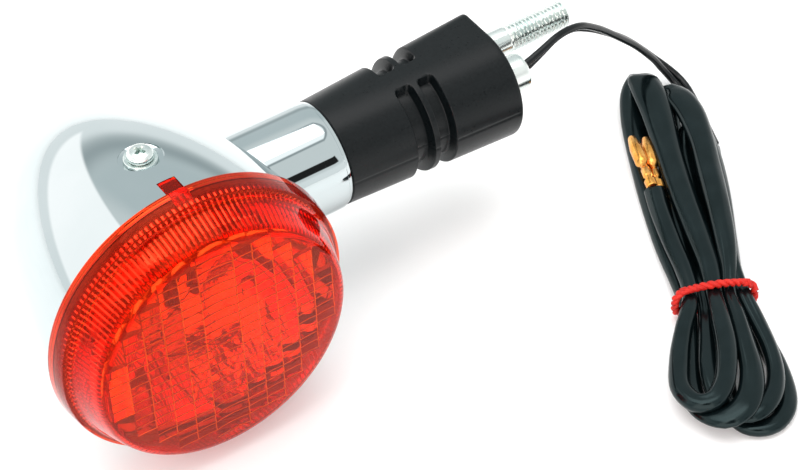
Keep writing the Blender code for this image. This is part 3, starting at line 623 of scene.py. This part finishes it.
def make_screw(mats):
    """The housing's screw, with a domed head and a cross recess, and its washer."""
    seat = SPOT_FACE_Z + 0.05
    top = seat + WASHER_THICK
    edge = WASHER_R - WASHER_CHAMFER
    washer = ((seat, WASHER_HOLE_R), (seat, edge), (seat + WASHER_CHAMFER, WASHER_R))
    washer += ((top - WASHER_CHAMFER, WASHER_R), (top, edge), (top, WASHER_HOLE_R))
    piece = turned("screw_washer_ring", washer, SCREW_FOOT, (0, 0, 1), mats["zinc"], 64)
    place(piece, "lamp", "zinc_plate", "screw_washer")
    foot = top + 0.1
    dome = foot + 0.75
    head = [(27.0, 0), (27.3, SCREW_R), (foot, SCREW_R)]
    head += [(foot, SCREW_HEAD_R - 0.15), (foot + 0.25, SCREW_HEAD_R), (dome, SCREW_HEAD_R)]
    for k in range(1, 8):
        turn = math.pi / 2 * k / 8
        head.append((dome + 1.45 * math.sin(turn), SCREW_HEAD_R * math.cos(turn) ** 0.55))
    head.append((dome + 1.45, 0.0))
    screw = turned("cross_head_screw", head, SCREW_FOOT, (0, 0, 1), mats["zinc"], 64)
    for turned_by in (28.0, 118.0):
        carve(screw, cross_arm(SCREW_FOOT, foot + 2.4, turned_by, mats["zinc"]), angle=25.0)
    place(screw, "lamp", "zinc_plate", "housing_screw")


def cross_arm(centre, top, turned_by, material):
    """One bar of the cross recess: it narrows downwards."""
    points = []
    turn = math.radians(turned_by)
    for z, half_length, half_width in ((top - 2.0, 0.7, 0.32), (top + 0.3, 1.95, 0.55)):
        for a, b in ((-1, -1), (1, -1), (1, 1), (-1, 1)):
            x = a * half_length
            y = b * half_width
            across = centre[0] + x * math.cos(turn) - y * math.sin(turn)
            along = centre[1] + x * math.sin(turn) + y * math.cos(turn)
            points.append((across, along, z))
    return mesh_object("cross_arm", points, BOX_FACES, material)


# Lens: (y, radius) of its outside, and of its ribbed inside with each point's rib height

LENS_OUTSIDE = (
    (-32.9, 39.3), (-32.9, 40.5), (-33.15, 40.75), (-33.5, 40.78), (-36.0, 40.45), (-38.6, 40.1),
    (-39.1, 39.9), (-39.3, 39.5), (-39.5, 38.75), (-39.75, 38.45), (-40.1, 38.4), (-40.45, 38.1),
    (-41.0, 37.75), (-44.0, 36.8), (-47.6, 35.55), (-48.6, 35.1), (-49.2, 34.6), (-49.6, 33.9),
    (-49.85, 32.9), (-50.2, 28.0), (-50.6, 20.0), (-50.9, 12.0), (-51.1, 5.0), (-51.15, 0.0),
)
LENS_INSIDE = (
    (-32.9, 39.3, 0.0), (-33.3, 38.9, 0.0), (-33.8, 38.4, 0.6), (-36.5, 38.2, 0.7),
    (-38.2, 37.8, 0.7), (-38.9, 37.1, 0.6), (-40.4, 36.6, 0.7), (-43.5, 35.7, 0.7),
    (-46.4, 34.8, 0.6), (-47.2, 34.2, 0.2), (FACE_BACK_Y, 33.7, 0.05),
)
LENS_WALL_SHADE_ROWS = range(3, 18)  # the outside's rows of faces that are its sides, in painted shade
RIBS_START_Y = -33.5
CORNER_Y = (-38.0, -38.5, -41.0)  # where the flange meets the drum: its start, middle and end


def rib_wave(turn):
    """V-shaped ribs, from 0 to 1."""
    phase = RIBS * turn / (2 * math.pi) % 1.0
    return 1.0 - abs(2 * phase - 1)


def ring_points(outline, sides):
    """Rings of points about the lens's axis, drawn in by the ribs."""
    points = []
    for y, radius, rib in outline:
        for turn in turns(sides):
            r = radius - rib * rib_wave(turn)
            points.append(Vector((LENS_X + r * math.cos(turn), y, r * math.sin(turn))))
    return points


def cell_edges():
    """The cell columns' edges along X, from the middle of the lens."""
    edges = [-sum(CELL_WIDTHS) / 2]
    for width in CELL_WIDTHS:
        edges.append(edges[-1] + width)
    return edges


def cell_steps(half, count):
    """Places across a cell from -1 to 1: its groove's bottom and edge at each side, and more between."""
    edge = 1 - CELL_GROOVE / half
    return [-1.0] + spread(-edge, edge, count) + [1.0]


def cell_patch(column, row, edges):
    """One cell's points, in rows from its lower edge, as seen with Z up: a tilted, bowed facet."""
    left, right = edges[column], edges[column + 1]
    half = (right - left) / 2
    low = (row - CELL_ROWS / 2) * CELL_HEIGHT
    patch = []
    for v in cell_steps(CELL_HEIGHT / 2, 3):
        line = []
        for u in cell_steps(half, round(2.4 * half)):
            depth = CELL_BASE + CELL_BOW * half**2 * (1 - u * u) + CELL_TILT * v
            if abs(u) == 1.0 or abs(v) == 1.0:
                depth -= CELL_GROOVE
            x = LENS_X + (left + right) / 2 + u * half
            z = low + (v + 1) / 2 * CELL_HEIGHT
            line.append(Vector((x, FACE_BACK_Y + depth, z)))
        patch.append(line)
    return patch


def inside_cells(column, row, edges):
    """Whether a cell lies wholly within the lens's patterned circle."""
    reach = max(abs(edges[column]), abs(edges[column + 1]))
    rise = (abs(row + 0.5 - CELL_ROWS / 2) + 0.5) * CELL_HEIGHT
    return math.hypot(reach, rise) < CELLS_R


def add_strip(lens, one, other, kinds):
    """Quads between two lines of points, with the kind of plastic of each."""
    points, faces, all_kinds = lens
    first = len(points)
    points += one + other
    count = len(one)
    for k in range(count - 1):
        faces.append((first + k, first + k + 1, first + count + k + 1, first + count + k))
    all_kinds += kinds


def flat_copy(line):
    return [Vector((p.x, FACE_BACK_Y, p.z)) for p in line]


def add_cells(lens):
    """The pillow cells, with a painted highlight on their grooves' edges, and the steps between them and the
    step down round them, in painted shade. Returns the rim.
    """
    edges = cell_edges()
    patches = {}
    for column in range(len(CELL_WIDTHS)):
        for row in range(CELL_ROWS):
            if inside_cells(column, row, edges):
                patches[column, row] = cell_patch(column, row, edges)
    rim = []
    for (column, row), patch in patches.items():
        last = len(patch) - 2
        inner = len(patch[0]) - 3
        for k, (below, above) in enumerate(zip(patch, patch[1:])):
            # Painted highlight: the grooves' edges round each cell are paler yellow.
            middle = EDGE_HIGHLIGHT if k in (0, last) else FACE
            add_strip(lens, below, above, [EDGE_HIGHLIGHT] + [middle] * inner + [EDGE_HIGHLIGHT])
        borders = (
            ((column, row - 1), patch[0], False),
            ((column, row + 1), patch[-1], True),
            ((column - 1, row), [line[0] for line in patch], False),
            ((column + 1, row), [line[-1] for line in patch], False),
        )
        for neighbour, border, upper in borders:
            # Painted shade: the steps between cells and down round them are near black.
            kinds = [DARK_SHADE] * (len(border) - 1)
            if neighbour not in patches:
                add_strip(lens, border, flat_copy(border), kinds)
                rim.append(flat_copy(border))
            elif upper:
                add_strip(lens, border, patches[neighbour][0], kinds)
    return rim


def add_filler(lens, rim, ring):
    """Flat faces between the cells' rim and the ring of points round them."""
    points, faces, kinds = lens
    flat = []
    edges = []
    seen = {}

    def index(p):
        key = (round(p.x, 4), round(p.z, 4))
        if key not in seen:
            seen[key] = len(flat)
            flat.append(Vector((p.x, p.z)))
        return seen[key]

    for line in rim:
        for a, b in zip(line, line[1:]):
            edges.append((index(a), index(b)))
    for a, b in zip(ring, ring[1:] + ring[:1]):
        edges.append((index(a), index(b)))
    found, _, triangles, _, _, _ = delaunay_2d_cdt(flat, edges, [], 1, 1e-5)
    first = len(points)
    points += [Vector((p.x, FACE_BACK_Y, p.y)) for p in found]
    for triangle in triangles:
        x = sum(found[k].x for k in triangle) / 3 - LENS_X
        z = sum(found[k].y for k in triangle) / 3
        if not over_cells(x, z):
            faces.append([first + k for k in triangle])
            kinds.append(FACE)


def over_cells(x, z):
    """Whether a place on the face is taken by a cell."""
    edges = cell_edges()
    row = math.floor(z / CELL_HEIGHT + CELL_ROWS / 2)
    for column in range(len(CELL_WIDTHS)):
        if edges[column] <= x < edges[column + 1]:
            return 0 <= row < CELL_ROWS and inside_cells(column, row, edges)
    return False


def rib_kinds(sides):
    """Each rib has one side in four in painted dark shade; the flange's corner has two, out of step, like a
    chain.
    """
    start, middle, end = CORNER_Y
    kinds = []
    for (y, _, _), (following, _, _) in zip(LENS_INSIDE, LENS_INSIDE[1:]):
        row = [DARK_SHADE, WALL_SHADE, WALL_SHADE, WALL_SHADE]
        if end <= following and y <= start:
            row = [DARK_SHADE, DARK_SHADE, WALL_SHADE, WALL_SHADE] if y < middle else [WALL_SHADE, WALL_SHADE, DARK_SHADE, DARK_SHADE]
        elif y > RIBS_START_Y:
            row = [FACE] * 4
        kinds += row * (sides // 4)
    return kinds


def outside_kinds(sides):
    """Sides in a painted shade of deeper red, between a lighter rim line and a lighter face."""
    kinds = []
    for row in range(len(LENS_OUTSIDE) - 1):
        kinds += [WALL_SHADE if row in LENS_WALL_SHADE_ROWS else FACE] * sides
    return kinds


def make_lens(mats):
    """The lens: a smooth outside, a ribbed inside, and cells inside the face."""
    sides = RIBS * 4
    outside = ring_points([(y, r, 0.0) for y, r in LENS_OUTSIDE], sides)
    inside = ring_points(LENS_INSIDE, sides)
    points = outside + inside
    faces = grid_faces(len(LENS_OUTSIDE), sides, False)
    first = len(outside)
    for face in grid_faces(len(LENS_INSIDE), sides, False):
        faces.append(tuple(k + first for k in face))
    kinds = outside_kinds(sides) + rib_kinds(sides)
    lens_parts = (points, faces, kinds)
    rim = add_cells(lens_parts)
    add_filler(lens_parts, rim, inside[-sides:])
    lens = mesh_object("ribbed_lens", points, faces, mats["lens"], LENS_SHARP, kinds)
    # The painted light copies: shaded sides, highlighted edges and dark-shaded recesses.
    for shade in LENS_FACE_AND_PAINTED_LIGHT[1:]:
        lens.data.materials.append(mats[shade])
    corners = [(LENS_X + x, y, z) for x, y, z in (TAB_LOW, TAB_HIGH)]
    # The tab takes the sides' painted shade of deeper red.
    tab = box("lens_tab", *corners, mats["lens_wall_shade"])
    place(lens, "lens", "lens_amber", "lens")
    place(tab, "lens", "lens_amber")


def make_reflector(mats):
    """A paraboloid with a hole for the socket and a narrow flat rim."""
    outline = []
    for radius in spread(BOWL_HOLE_R, BOWL_R, 25):
        rise = (radius**2 - BOWL_HOLE_R**2) / BOWL_SPREAD
        outline.append((BOWL_BACK_Y - BOWL_DEPTH * rise, radius))
    back = [(y + BOWL_THICK, radius) for y, radius in outline]
    rim = [(outline[-1][0], BOWL_RIM_R), (back[-1][0], BOWL_RIM_R)]
    bowl = about_lens_axis("reflector_bowl", outline + rim + back[::-1], mats["reflector"], 144)
    place(bowl, "lamp", "reflector_coat", "reflector")


# Stem, rubber stalk, stud and tube


def make_sleeve(mats):
    """The stem's sleeve, with a stepped rim, cut to fit the housing."""
    outline = [(SLEEVE_RIM_X + along, radius) for along, radius in SLEEVE_RIM]
    outline += [(x, SLEEVE_R) for x in spread(SLEEVE_RIM_X - 4.0, SLEEVE_END_X, 24)]
    outline += [(SLEEVE_END_X, SLEEVE_BORE_R), (-62.0, SLEEVE_BORE_R)]
    sleeve = about_x("chrome_sleeve", outline, STALK_Y, mats["chrome"], 192)
    solid = [(HOUSING_MOUTH_Y, 0.0), (HOUSING_MOUTH_Y, HOUSING_R - SADDLE_INSET)]
    solid += housing_outline(SADDLE_INSET, 60)
    carve(sleeve, about_lens_axis("saddle", solid, mats["chrome"], 192))
    place(sleeve, "lamp", "chrome", "stem_sleeve")


def groove_share(x, y, z):
    """How deep the rubber is cut, from 0 to 1: two grooves with round ends at the ribs."""
    share = 0.0
    for start, end in GROOVES:
        over_x = abs(x - (start + end) / 2) - (end - start) / 2 + GROOVE_CORNER
        over_y = -GROOVE_CORNER
        if abs(z) > RIB_Z:
            over_y = min(y - RIB_Y[0], RIB_Y[1] - y) + GROOVE_CORNER
        outside = math.hypot(max(over_x, 0.0), max(over_y, 0.0))
        distance = outside + min(max(over_x, over_y), 0.0) - GROOVE_CORNER
        share = max(share, ease(-distance / 0.8))
    return share


def arc_points(centre_y, centre_z, radius, start, end):
    """(y, z, angle) along an arc; angles are outward directions, in degrees from the front over the top."""
    count = max(2, round(math.radians(end - start) * radius / STALK_SPACING))
    points = []
    for k in range(count):
        angle = start + (end - start) * k / count
        turn = math.radians(angle)
        points.append((centre_y - radius * math.cos(turn), centre_z + radius * math.sin(turn), angle))
    return points


def base_outline():
    """(y, z, angle) round the base: a front arc, flats above and below, tight corners, a shallow back."""
    front_y, front_r = BASE_FRONT
    corner_y, corner_z, corner_r = BASE_CORNER
    back_y, back_r = BASE_BACK
    flat = [(y, front_r, 90.0) for y in spread(front_y, corner_y, 26)[:-1]]
    turned_from = 180.0 - BASE_BACK_ANGLE
    upper = arc_points(front_y, 0.0, front_r, 0.0, 90.0) + flat
    upper += arc_points(corner_y, corner_z, corner_r, 90.0, turned_from)
    upper += arc_points(back_y, 0.0, back_r, turned_from, 180.0)
    lower = [(y, -z, 360.0 - angle) for y, z, angle in upper[:0:-1]]
    return upper + [(back_y + back_r, 0.0, 180.0)] + lower


def stalk_ring(x, inset):
    """Points round the stalk: round at the stem, and widening evenly to the base's outline."""
    share = min(1.0, max(0.0, 1 - x / SLEEVE_RIM_X))
    ring = []
    for y, z, angle in base_outline():
        turn = math.radians(angle)
        round_y = STALK_Y - RUBBER_ROUND_R * math.cos(turn)
        round_z = RUBBER_ROUND_R * math.sin(turn)
        y = round_y + (y - round_y) * share
        z = round_z + (z - round_z) * share
        cut = inset + GROOVE_DEPTH * groove_share(x, y, z)
        if y < STALK_Y and inset < 0.01:
            cut += SEAM_DEPTH * math.exp(-((z / SEAM_WIDTH) ** 2))
        ring.append(Vector((x, y + cut * math.cos(turn), z - cut * math.sin(turn))))
    return ring


def make_stalk(mats):
    """The rubber stalk, finely divided at the grooves, where it bends."""
    stations = [(-60.0, 2.2), (SLEEVE_RIM_X - 0.2, 2.2), (SLEEVE_RIM_X + 0.1, 0.3), (SLEEVE_RIM_X + 0.4, 0.0)]
    stations += [(x, 0.0) for x in spread(-52.5, -34.0, 20)]
    stations += [(x, 0.0) for x in spread(-33.6, -20.8, 86)]
    stations += [(x, 0.0) for x in spread(-20.0, -1.2, 20)]
    stations += [(-0.7, 0.04), (-0.4, 0.14), (-0.15, 0.34), (0.0, 0.7), (0.0, 2.5), (-0.4, 2.6)]
    rings = [stalk_ring(x, inset) for x, inset in stations]
    sides = len(rings[0])
    points = [point for ring in rings for point in ring]
    faces = grid_faces(len(stations), sides, False)
    last = (len(stations) - 1) * sides
    faces += [tuple(range(sides)), tuple(range(last, last + sides))]
    stalk = mesh_object("rubber_stalk_skin", points, faces, mats["rubber"], 40.0)
    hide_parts("rubber_stalk")
    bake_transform(stalk)


def make_stud(mats):
    """A plain shank, then the thread, and a chamfered end."""
    sides = 96
    stations = spread(-7.0, 12.0, 6) + spread(12.4, STUD_END_X, 180) + [STUD_END_X]
    points = []
    for row, x in enumerate(stations):
        for turn in turns(sides):
            phase = (x / THREAD_PITCH + turn / (2 * math.pi)) % 1.0
            crest = min(1.0, max(0.0, abs(phase - 0.5) * 2 * 1.35 - 0.2))
            fade = ease((x - THREAD_START_X) / 1.6)
            radius = STUD_R - SHANK_INSET * (1 - fade) - THREAD_DEPTH * crest * fade
            radius = min(radius, STUD_TIP_R + (STUD_END_X - x))
            if row == len(stations) - 1:
                radius = 0.0
            points.append((x, STUD_Y + radius * math.cos(turn), radius * math.sin(turn)))
    faces = grid_faces(len(stations), sides, False) + [tuple(range(sides))]
    stud = mesh_object("threaded_stud", points, faces, mats["zinc"], 40.0)
    place(stud, "base", "zinc_plate", "mounting_stud")


def make_tube(mats):
    """A tube with a rounded end."""
    outline = [(-9.0, 4.2)] + [(x, TUBE_R) for x in (-9.0, -4.0, 0.2)]
    outline += [(x, TUBE_R) for x in spread(1.0, TUBE_END_X - 1.6, 8)]
    for turn in spread(0.0, math.pi / 2, 9):
        outline.append((TUBE_END_X - 1.3 + 1.2 * math.sin(turn), TUBE_R - 1.0 + math.cos(turn)))
    outline += [(TUBE_END_X - 0.4, TUBE_BORE_R), (TUBE_END_X - 1.6, TUBE_BORE_R), (0.0, 4.0)]
    tube = about_x("wire_tube_sleeve", outline, TUBE_Y, mats["zinc"], 96)
    place(tube, "base", "zinc_plate", "wire_tube")


# Lead, sleeving, tie and connectors


def wire_line(side):
    """Centres of one wire: over or under the pair's line at the tube, beside it at the sleeving."""
    middle = [Vector(p) for p in smooth_line(LEAD_ROUTE, 1.8)]
    line = []
    for k, centre in enumerate(middle):
        ahead = middle[min(k + 1, len(middle) - 1)] - middle[max(k - 1, 0)]
        level = ahead.cross(Vector((0, 0, 1))).normalized()
        up = level.cross(ahead).normalized()
        lean = min(1.0, 2 * k / len(middle)) * math.pi / 2
        line.append(centre + (up * math.cos(lean) + level * math.sin(lean)) * side * WIRE_SIDE)
    return line


def make_leads(mats):
    """The two wires that are seen, from the tube to the hank."""
    for name, node, side in (("lead_a", "lead_wire_live", 1), ("lead_b", "lead_wire_earth", -1)):
        line = wire_line(side)
        wire = swept(name, line, round_section(WIRE_R), mats["wire"])
        place(wire, "base", "wire_cover", node)


def make_inner_wires(mats):
    """From the socket's terminals, through the stem, to the inside of the tube."""
    ends = (("inner_wire_live", 0.0, 1), ("inner_wire_earth", -9.45, -1))
    for node, z, side in ends:
        aside = side * WIRE_SIDE
        route = [(LENS_X, 17.3, z), (LENS_X + 0.5, 20.3, z), (LENS_X + 5.0, 20.9, (z + aside) / 2)]
        route += [(x, y, aside) for x, y in INNER_WIRE_ROUTE]
        centres = [Vector(p) for p in smooth_line(route, 1.6)]
        wire = swept(node + "_bending", centres, round_section(WIRE_R), mats["wire"], sides=16)
        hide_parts(node)
        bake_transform(wire)


def make_spring(mats):
    """The spring behind the contact disc: it shortens as the bulb is pushed in."""
    centres = []
    whole = 2 * math.pi * SPRING_TURNS
    for turn in spread(0.0, whole, 30 * SPRING_TURNS + 1):
        y = SPRING_FRONT_Y + (SPRING_BACK_Y - SPRING_FRONT_Y) * turn / whole
        centres.append(Vector((LENS_X + SPRING_R * math.cos(turn), y, SPRING_R * math.sin(turn))))
    spring = swept("coil_spring", centres, round_section(SPRING_WIRE_R), mats["steel"], sides=12)
    place(spring, "lamp", "steel", "contact_spring")
    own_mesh(spring)


def make_sleeving(mats, connectors):
    """The soft sleeving, laid in a hank of eight runs."""
    stations = smooth_line(SLEEVE_ROUTE, 1.5)
    line = [hank_point(s, w, z) for s, w, z, width, thick in stations]

    def section(k, turn):
        """A flattened tube with slow ripples and a crease, which is deeper near the tie."""
        width, thick = stations[k][3:]
        from_tie = (stations[k][0] - TIE_S) / CREASE_REACH
        ripple = RIPPLE * noise.noise(Vector((0.085 * k, 1.5 * math.cos(turn), 1.5 * math.sin(turn))))
        crease_at = 0.45 * noise.noise(Vector((0.03 * k, 7.0, 0.0)))
        crease = CREASE + TIE_CREASE * math.exp(-(from_tie**2))
        crease *= math.exp(-(((math.cos(turn) - crease_at) / 0.30) ** 2))
        rise = (thick / 2 - crease + ripple) * math.sin(turn)
        return (width / 2 + ripple) * math.cos(turn), rise

    sleeving = swept("wire_sleeving", line, section, mats["sleeving"], sides=36)
    place(sleeving, "base", "wire_sleeving", "wire_hank")


def tie_loop():
    """(w, z) of points on a loop round the neck of the hank."""
    left, right, bottom, top = TIE_NECK
    reach = TIE_CORNER + TIE_MARGIN
    loop = []
    corners = ((right, top, 0), (left, top, 90), (left, bottom, 180), (right, bottom, 270))
    for w, z, first in corners:
        w_in = w - math.copysign(TIE_CORNER, w)
        z_in = z - TIE_CORNER if z == top else z + TIE_CORNER
        for k in range(7):
            turn = math.radians(first + 90.0 * k / 6)
            loop.append((w_in + reach * math.cos(turn), z_in + reach * math.sin(turn)))
    return loop


def make_tie(mats):
    """Two strands twisted round each other, in a loop that bows along the hank."""
    left, right, bottom, top = TIE_NECK
    middle_w = (left + right) / 2
    middle_z = (bottom + top) / 2
    loop = tie_loop()
    dense = smooth_line(loop + loop[:1], 0.35)[:-1]
    for number, phase in enumerate((0.0, math.pi)):
        centres = []
        for k, (w, z) in enumerate(dense):
            turn = 2 * math.pi * TIE_TWISTS * k / len(dense) + phase
            out = Vector((w - middle_w, z - middle_z)).normalized()
            lift = TIE_TWIST_R * math.cos(turn)
            bow = TIE_BOW * math.cos((w - middle_w) / TIE_HALF * math.pi / 2)
            s = TIE_START_S + bow + TIE_TWIST_R * math.sin(turn)
            centres.append(hank_point(s, w + out.x * lift, z + out.y * lift))
        name = f"tie_strand_{number}"
        strand = swept(name, centres, round_section(TIE_STRAND_R), mats["tie"], closed=True)
        place(strand, "base", "red_tie")
    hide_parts("hank_tie")


def make_connector(node, w, z, aside, roll, mats):
    """A crimped bullet terminal: wings over the wire, a slotted barrel and a tapered tip."""
    along = Matrix.Rotation(math.radians(-aside), 3, "Z") @ HANK_ALONG
    across = along.cross(Vector((0, 0, 1)))
    lean = math.radians(roll)
    side = across * math.cos(lean) + Vector((0, 0, 1)) * math.sin(lean)
    up = along.cross(side)
    sides = 40
    start = hank_point(CONNECTOR_S, w, z)
    points = []
    for shrink, outline in ((0.0, CONNECTOR_OUTLINE), (CONNECTOR_WALL, CONNECTOR_OUTLINE[::-1])):
        for reach, radius, gap in outline:
            for k in range(sides):
                turn = gap + (2 * math.pi - 2 * gap) * k / (sides - 1)
                out = side * math.cos(turn) + up * math.sin(turn)
                points.append(start + along * reach + out * (radius - shrink))
    rows = 2 * len(CONNECTOR_OUTLINE)
    faces = []
    for row in range(rows):
        here = row * sides
        there = (row + 1) % rows * sides
        for k in range(sides - 1):
            faces.append((here + k, here + k + 1, there + k + 1, there + k))
    for k in (0, sides - 1):
        for row in range(len(CONNECTOR_OUTLINE) - 1):
            here = row * sides + k
            mirror = (rows - 1 - row) * sides + k
            faces.append((here, here + sides, mirror - sides, mirror))
    shell = mesh_object(node + "_shell", points, faces, mats["brass"], 40.0)
    place(shell, "base", "brass", node)
    return shell


def make_connectors(mats):
    return [make_connector(*row, mats) for row in CONNECTOR_ROWS]


# CAD nodes that stay, with better materials


KEPT_NODES = {
    "steel": ("base_plate", "stem_core", "stem_washer", "socket_bracket"),
    "zinc": ("stem_nut",),
    "brass": ("socket_shell", "live_terminal", "earth_terminal", "contact_stud"),
    "phenolic": ("socket_base", "contact_disc"),
    "gasket": ("lens_gasket",),
    "glass": ("bulb_glass",),
    "bulb_brass": ("bulb_cap",),
    "solder": ("bulb_contact",),
    "filament": ("filament",),
}


def dress_kept_nodes(nodes, mats):
    """Gives the CAD solids that stay as they are their finishes."""
    for key, names in KEPT_NODES.items():
        for name in names:
            obj = nodes[name]
            obj.data.materials.clear()
            obj.data.materials.append(mats[key])
            weld = obj.modifiers.new("weld", "WELD")
            weld.merge_threshold = 1e-6


# Camera, studio and light


CAMERA_LENS = 112.15
CAMERA_PLACE = (-0.29579, -0.43171, 0.44971)
CAMERA_RIGHT = (0.83227, -0.55345, -0.03185)
CAMERA_UP = (0.40675, 0.57060, 0.71342)
CAMERA_BACK = (-0.37667, -0.60671, 0.70001)
KEY_PLACE = Vector((-0.10, 0.25, 1.5))
KEY_TARGET = Vector((-0.03, 0.0, 0.0))
KEY_SIZE = 1.4
KEY_POWER = 11.0


def make_camera():
    data = bpy.data.cameras.new("camera")
    data.lens = CAMERA_LENS
    camera = bpy.data.objects.new("camera", data)
    bpy.context.scene.collection.objects.link(camera)
    turn = Matrix((CAMERA_RIGHT, CAMERA_UP, CAMERA_BACK)).transposed()
    camera.matrix_world = Matrix.Translation(CAMERA_PLACE) @ turn.to_4x4()
    bpy.context.scene.camera = camera


def make_key_light():
    """A large soft light above, a little behind the lamp."""
    data = bpy.data.lights.new("key", "AREA")
    data.shape = "RECTANGLE"
    data.size = KEY_SIZE
    data.size_y = KEY_SIZE
    data.energy = KEY_POWER
    light = bpy.data.objects.new("key", data)
    light.location = KEY_PLACE
    light.rotation_euler = (KEY_TARGET - KEY_PLACE).to_track_quat("-Z", "Y").to_euler()
    bpy.context.scene.collection.objects.link(light)


def sky_edge(tree, value, at, soft):
    """Rises from 0 to 1 as the value passes a place."""
    node = add_node(tree, "MapRange", From_Min=at - soft, From_Max=at + soft)
    node.interpolation_type = "SMOOTHSTEP"
    tree.links.new(value, node.inputs["Value"])
    return node.outputs["Result"]


def sky_math(tree, operation, first, second=None):
    """A sum on numbers or on other nodes' outputs."""
    node = add_node(tree, "Math")
    node.operation = operation
    for socket, value in zip(node.inputs, (first, second)):
        if isinstance(value, (int, float)):
            socket.default_value = value
        elif value is not None:
            tree.links.new(value, socket)
    return node.outputs[0]


def sky_patch(tree, below, azimuth, elevation, patch):
    """Paints a four-sided patch of the surroundings; its slant moves its sides as elevation grows."""
    (west, east), (low, high), soft, slant, color = patch
    leaning = sky_math(tree, "SUBTRACT", azimuth, sky_math(tree, "MULTIPLY", elevation, slant))
    mask = sky_edge(tree, leaning, west, soft)
    mask = sky_math(tree, "MULTIPLY", mask, sky_edge(tree, elevation, low, soft))
    for value, at in ((leaning, east), (elevation, high)):
        falling = sky_math(tree, "SUBTRACT", 1.0, sky_edge(tree, value, at, soft))
        mask = sky_math(tree, "MULTIPLY", mask, falling)
    mix = add_node(tree, "Mix")
    mix.data_type = "RGBA"
    tree.links.new(mask, mix.inputs["Factor"])
    tree.links.new(below, mix.inputs["A"])
    mix.inputs["B"].default_value = (*color, 1.0)
    return mix.outputs["Result"]


# Studio surroundings: azimuths from +Y towards +X, elevations, softness and slant in degrees
SKY = (0.80, 0.83, 0.83)
SKY_PATCHES = (
    ((-400, 400), (-90, 11), 3.0, 0.0, (0.98, 1.0, 1.0)),  # pale walls near the floor
    ((-12, 62), (12, 24), 6.0, 0.0, (0.42, 0.47, 0.48)),  # a grey screen behind the lamp
    ((-12, 62), (22, 50), 7.0, 0.0, (0.62, 0.68, 0.69)),
    ((-60, 14.5), (5, 44), 1.2, -0.92, (1.38, 1.34, 1.33)),  # the softbox behind on the left
    ((-400, 400), (62, 95), 1.5, 0.0, (1.35, 1.35, 1.35)),  # the ceiling softbox
    ((-400, 400), (59, 62), 0.8, 0.0, (0.40, 0.44, 0.45)),  # its frame
    ((151, 160), (16, 29), 0.8, 0.0, (0.02, 0.02, 0.02)),  # a black flag in front
    ((-400, -100), (0, 88), 3.0, 0.0, (2.2, 2.0, 1.95)),  # a broad softbox in front on the left
    ((-172, -128), (48, 75), 1.5, 0.0, (0.02, 0.02, 0.02)),  # the dark studio behind the camera
)


def make_world():
    """The studio round the lamp, as the chrome mirrors it."""
    world = bpy.data.worlds.new("studio")
    bpy.context.scene.world = world
    world.use_nodes = True
    tree = world.node_tree
    coords = add_node(tree, "TexCoord")
    split = add_node(tree, "SeparateXYZ")
    tree.links.new(coords.outputs["Generated"], split.inputs["Vector"])
    x, y, z = split.outputs
    azimuth = sky_math(tree, "DEGREES", sky_math(tree, "ARCTAN2", x, y))
    elevation = sky_math(tree, "DEGREES", sky_math(tree, "ARCSINE", z))
    base = add_node(tree, "RGB")
    base.outputs[0].default_value = (*SKY, 1.0)
    color = base.outputs[0]
    for patch in SKY_PATCHES:
        color = sky_patch(tree, color, azimuth, elevation, patch)
    tree.links.new(color, tree.nodes["Background"].inputs["Color"])
    tree.nodes["Background"].inputs["Strength"].default_value = 1.2


def make_floor():
    low = (-FLOOR_REACH, -FLOOR_REACH, FLOOR_Z - 3.0)
    high = (FLOOR_REACH, FLOOR_REACH, FLOOR_Z - 0.05)
    box("floor", low, high, make_floor_material())


def make_studio():
    make_floor()
    make_world()
    make_key_light()
    bpy.context.scene.view_settings.view_transform = "Standard"


def main():
    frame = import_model()
    mats = make_materials()
    make_camera()
    make_leads(mats)
    make_sleeving(mats, make_connectors(mats))
    make_tie(mats)
    make_inner_wires(mats)
    make_spring(mats)
    make_housing(mats)
    make_screw(mats)
    make_lens(mats)
    make_reflector(mats)
    make_sleeve(mats)
    make_stalk(mats)
    make_stud(mats)
    make_tube(mats)
    dress_kept_nodes(frame["nodes"], mats)
    make_studio()


main()
